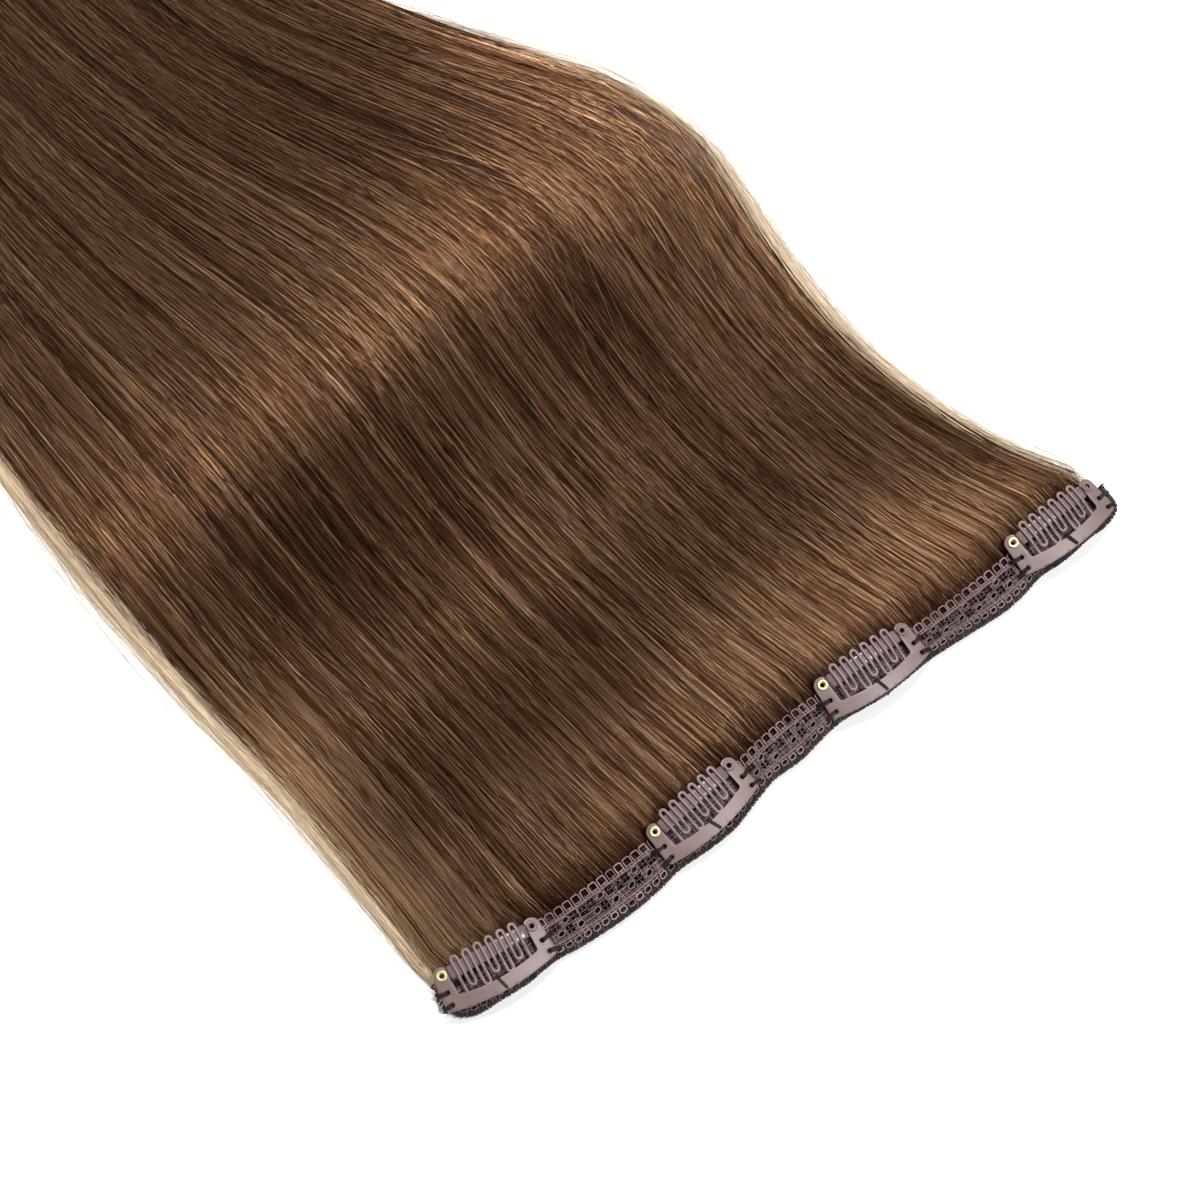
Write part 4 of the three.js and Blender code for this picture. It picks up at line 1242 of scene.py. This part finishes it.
def plate_outlines():
    window_y = -WINDOW_SIDE
    turn = math.degrees(math.acos((ARM_X - EAR_X) / EAR_RADIUS))
    shoulder = (PLATE_HALF + SIDE_FLARE - SHOULDER_RADIUS, SHOULDER_RADIUS - SHOULDER_DEPTH)
    shoulder = arc(*shoulder, SHOULDER_RADIUS, -70, 0, 8)
    ear = arc(EAR_X, 0, EAR_RADIUS, 0, turn, 20)
    corner = arc(ARM_X - 0.8, window_y + 0.8, 0.8, 0, -90, 5)
    share = np.linspace(0, 1, 14)[:-1, None]
    dip = np.linspace(1, 0, 10)[1:-1, None]
    reach = (ARM_X - 0.8) * dip
    sill = np.hstack([reach, -WINDOW_DEPTH + (WINDOW_DEPTH - WINDOW_SIDE) * dip ** 2])
    arch_end = shoulder[0]
    arch = np.hstack([arch_end[0] * share, -ARCH_DEPTH + (ARCH_DEPTH + arch_end[1]) * share ** 2])
    right = np.concatenate([arch[1:], shoulder, ear, corner, sill])
    outline = np.concatenate([right, (right * (-1, 1))[::-1], arch[:1]])
    holes = []
    for side in (-1, 1):
        holes.append(ellipse(side * EAR_X, 0, EYELET_BORE, EYELET_BORE, 20))
        for x, y in SEWING_HOLES:
            holes.append(ellipse(side * x, y, SEWING_HOLE_RADIUS, SEWING_HOLE_RADIUS, 14))
    return [outline, *holes]


def comb_path():
    legs = 2 * TEETH
    step = (2 * (ARM_X - END_SLOT) - WIRE) / (legs - 1)
    radius = step / 2
    rise_start = BEND_DEPTH - WIRE / 2 - radius
    rise_end = GRIP_OFFSET + GRIP_WIDTH / 2 + 0.6
    top = TOOTH_REACH - WIRE / 2 - radius
    x = (np.arange(legs) - (legs - 1) / 2) * step
    rising = np.linspace(-rise_start, -rise_end, 5)
    over = np.linspace(-rise_end, top, 5)[1:]
    deep = WIRE / 2 + radius - ROOT_DEPTH
    path = [(x[0], -ROOT_DEPTH - 0.7), (x[0], -ROOT_DEPTH), (x[0], -ROOT_DEPTH + 1)]
    for tooth in range(TEETH):
        up, down = x[2 * tooth], x[2 * tooth + 1]
        path.extend((up, y) for y in rising)
        path.extend((up, y) for y in over[:-1])
        path.extend(arc((up + down) / 2, top, radius, 180, 0, 10))
        path.extend((down, y) for y in over[-2::-1])
        path.extend((down, y) for y in rising[::-1])
        if tooth == TEETH - 1:
            path.extend([(down, -ROOT_DEPTH + 1), (down, -ROOT_DEPTH), (down, -ROOT_DEPTH - 0.7)])
        elif tooth % 2 == 0:
            path.extend(arc(down + radius, -rise_start, radius, 180, 360, 10)[1:-1])
        else:
            path.append((down, (deep - rise_start) / 2))
            path.extend(arc(down + radius, deep, radius, 180, 360, 10))
            path.append((down + step, (deep - rise_start) / 2))
    return np.array(path), rise_start, rise_end


def add_comb(body):
    """The comb's strip, with rounded edges."""
    path, rise_start, rise_end = comb_path()
    ahead = np.gradient(path, axis=0)
    ahead /= np.linalg.norm(ahead, axis=1, keepdims=True)
    side = np.stack([-ahead[:, 1], ahead[:, 0]], 1)
    half, cut = WIRE / 2, 0.12
    section = [
        (half, cut), (half, SHEET - cut), (half - cut, SHEET), (cut - half, SHEET),
        (-half, SHEET - cut), (-half, cut), (cut - half, 0), (half - cut, 0),
    ]
    rings = []
    for reach, lift in section:
        place = path + reach * side
        share = np.clip((place[:, 1] + rise_start) / (rise_start - rise_end), 0, 1)
        rise = TOOTH_RISE * share ** 2 * (3 - 2 * share)
        sill = -WINDOW_DEPTH + (WINDOW_DEPTH - WINDOW_SIDE) * np.clip(place[:, 0] / ARM_X, -1, 1) ** 2
        under = 0.03 * np.clip((sill + 0.3 - place[:, 1]) / 0.2, 0, 1)
        height = sheet_height(place[:, 0], place[:, 1]) + rise + lift - under
        rings.append(np.column_stack([place, height]))
    points = np.stack(rings, 1).reshape(-1, 3)
    body.add(points, tube_faces(1, len(path), 8), cap_faces(1, len(path), 8))


def bar_outlines():
    half = BAR_WIDTH / 2
    neck = math.degrees(math.asin(half / BAR_END_RADIUS))
    right = arc(EAR_X, 0, BAR_END_RADIUS, neck - 180, 180 - neck, 22)
    outline = np.concatenate([right, -right])
    return [outline, *(ellipse(x, 0, EYELET_BORE, EYELET_BORE, 16) for x in (EAR_X, -EAR_X))]


def rounded_box(half_x, half_y, radius, steps):
    """A closed anticlockwise outline with round corners."""
    corners = [(1, 1, 0), (-1, 1, 90), (-1, -1, 180), (1, -1, 270)]
    return np.concatenate([
        arc(sx * (half_x - radius), sy * (half_y - radius), radius, turn, turn + 90, steps)
        for sx, sy, turn in corners
    ])


def add_grip(body):
    """The sleeve: a rounded tube with a flat bore, on the bow of the bar."""
    outer = rounded_box(GRIP_WIDTH / 2, GRIP_HEIGHT / 2, 0.8, 5)
    bore = rounded_box(BAR_WIDTH / 2 + 0.3, 0.55, 0.3, 5) + (GRIP_OFFSET, 0)
    reach = ARM_X - 0.3
    stations = np.linspace(-reach, reach, 27)
    sides = len(outer)
    end = np.minimum(reach - np.abs(stations), 0.35)
    shrink = 0.35 - end
    points = []
    for ring, sign in ((outer, -1), (bore, 1)):
        direction = ring / np.linalg.norm(ring, axis=1, keepdims=True)
        for x, inset in zip(stations, shrink):
            place = ring + sign * 0.4 * inset * direction
            points.append(np.column_stack([
                np.full(sides, x), place[:, 0] - GRIP_OFFSET, GRIP_MIDDLE + bow(x) + place[:, 1],
            ]))
    points = np.concatenate(points)
    rows = len(stations)
    skin = tube_faces(1, rows, sides)
    lining = (skin + rows * sides)[:, ::-1]
    around = np.arange(sides)
    after = (around + 1) % sides
    first = np.stack([around, around + rows * sides, after + rows * sides, after], 1)
    last = (first + (rows - 1) * sides)[:, ::-1]
    body.add(points, skin, lining, first, last)


def add_eyelet(body, side):
    """A rolled head on a barrel through the ear and the bar."""
    lift = SHEET_LIFT + SHEET
    profile = [
        (0.62, 0.4), (0.8, 0.4), (0.8, lift + 0.1), (1.25, lift + 0.02), (1.46, lift + 0.1),
        (1.5, lift + 0.28), (1.42, lift + 0.48), (1.22, lift + 0.6), (0.98, lift + 0.58),
        (0.76, lift + 0.44), (0.64, lift + 0.2),
    ]
    sides = 32
    turns = 2 * np.pi * np.arange(sides) / sides
    slope = -2 * CLIP_BOW * side * EAR_X / PLATE_HALF ** 2
    rings = []
    for radius, height in profile:
        x = radius * np.cos(turns)
        rings.append(np.column_stack([
            side * EAR_X + x, radius * np.sin(turns), height + bow(EAR_X) + slope * x,
        ]))
    body.add(np.concatenate(rings), tube_faces(1, len(profile), sides, closed=True)[:, ::-1])


def clip_mover(place, turn):
    x = place * BAND_LENGTH
    y = float(band_drift(x)) + EYELET_LINE
    c, s = math.cos(math.radians(turn)), math.sin(math.radians(turn))

    def move(points):
        moved = np.array(points, float)
        moved[:, 0] = x + c * points[:, 0] - s * points[:, 1]
        moved[:, 1] = y + s * points[:, 0] + c * points[:, 1]
        moved[:, 2] = LACE_TOP + points[:, 2]
        return moved

    return move


def add_clip(number, place, turn, paint, brass, silicone):
    move = clip_mover(place, turn)
    name = f"clip_{number}_"
    plate = Body()
    add_sheet(plate, plate_outlines(), sheet_height, SHEET, 0.55, 0.12)
    fasten(plate.piece(name + "pressed_plate", paint, move), "painted_steel", name + "plate")
    comb = Body()
    add_comb(comb)
    comb = comb.piece(name + "comb_strip", paint, move)
    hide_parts(name + "comb")
    hinge = [(0.0, -ROOT_DEPTH + reach, HINGE_HEIGHT) for reach in (-BLEND_REACH, BLEND_REACH)]
    hinge = move(np.array(hinge)) + BAND_ORIGIN
    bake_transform(comb)
    bar = Body()
    add_sheet(bar, bar_outlines(), lambda x, y: bow(x) + BAR_LIFT, SHEET, 0.8, 0.12)
    fasten(bar.piece(name + "pressed_bar", paint, move), "painted_steel", name + "bar")
    grip = Body()
    add_grip(grip)
    fasten(grip.piece(name + "sleeve", silicone, move), "silicone", name + "grip")
    eyelets = [(-1, "brass_eyelet", brass, "brass"), (1, "painted_eyelet", paint, "painted_steel")]
    for side, kind, finish, slot in eyelets:
        ring = Body()
        add_eyelet(ring, side)
        fasten(ring.piece(name + kind + "_ring", finish, move), slot, name + kind)


def add_clips():
    paint, brass, silicone = paint_material(), brass_material(), silicone_material()
    for number, (place, turn) in enumerate(CLIPS, 1):
        add_clip(number, place, turn, paint, brass, silicone)


add_camera()
add_table()
add_lights()
add_hair(strand_material(), fringe_material(), under_hair_material())
add_lace(lace_material())
seam_finish = seam_material()
add_seam(seam_finish)
add_clips()
add_stitches(seam_finish)
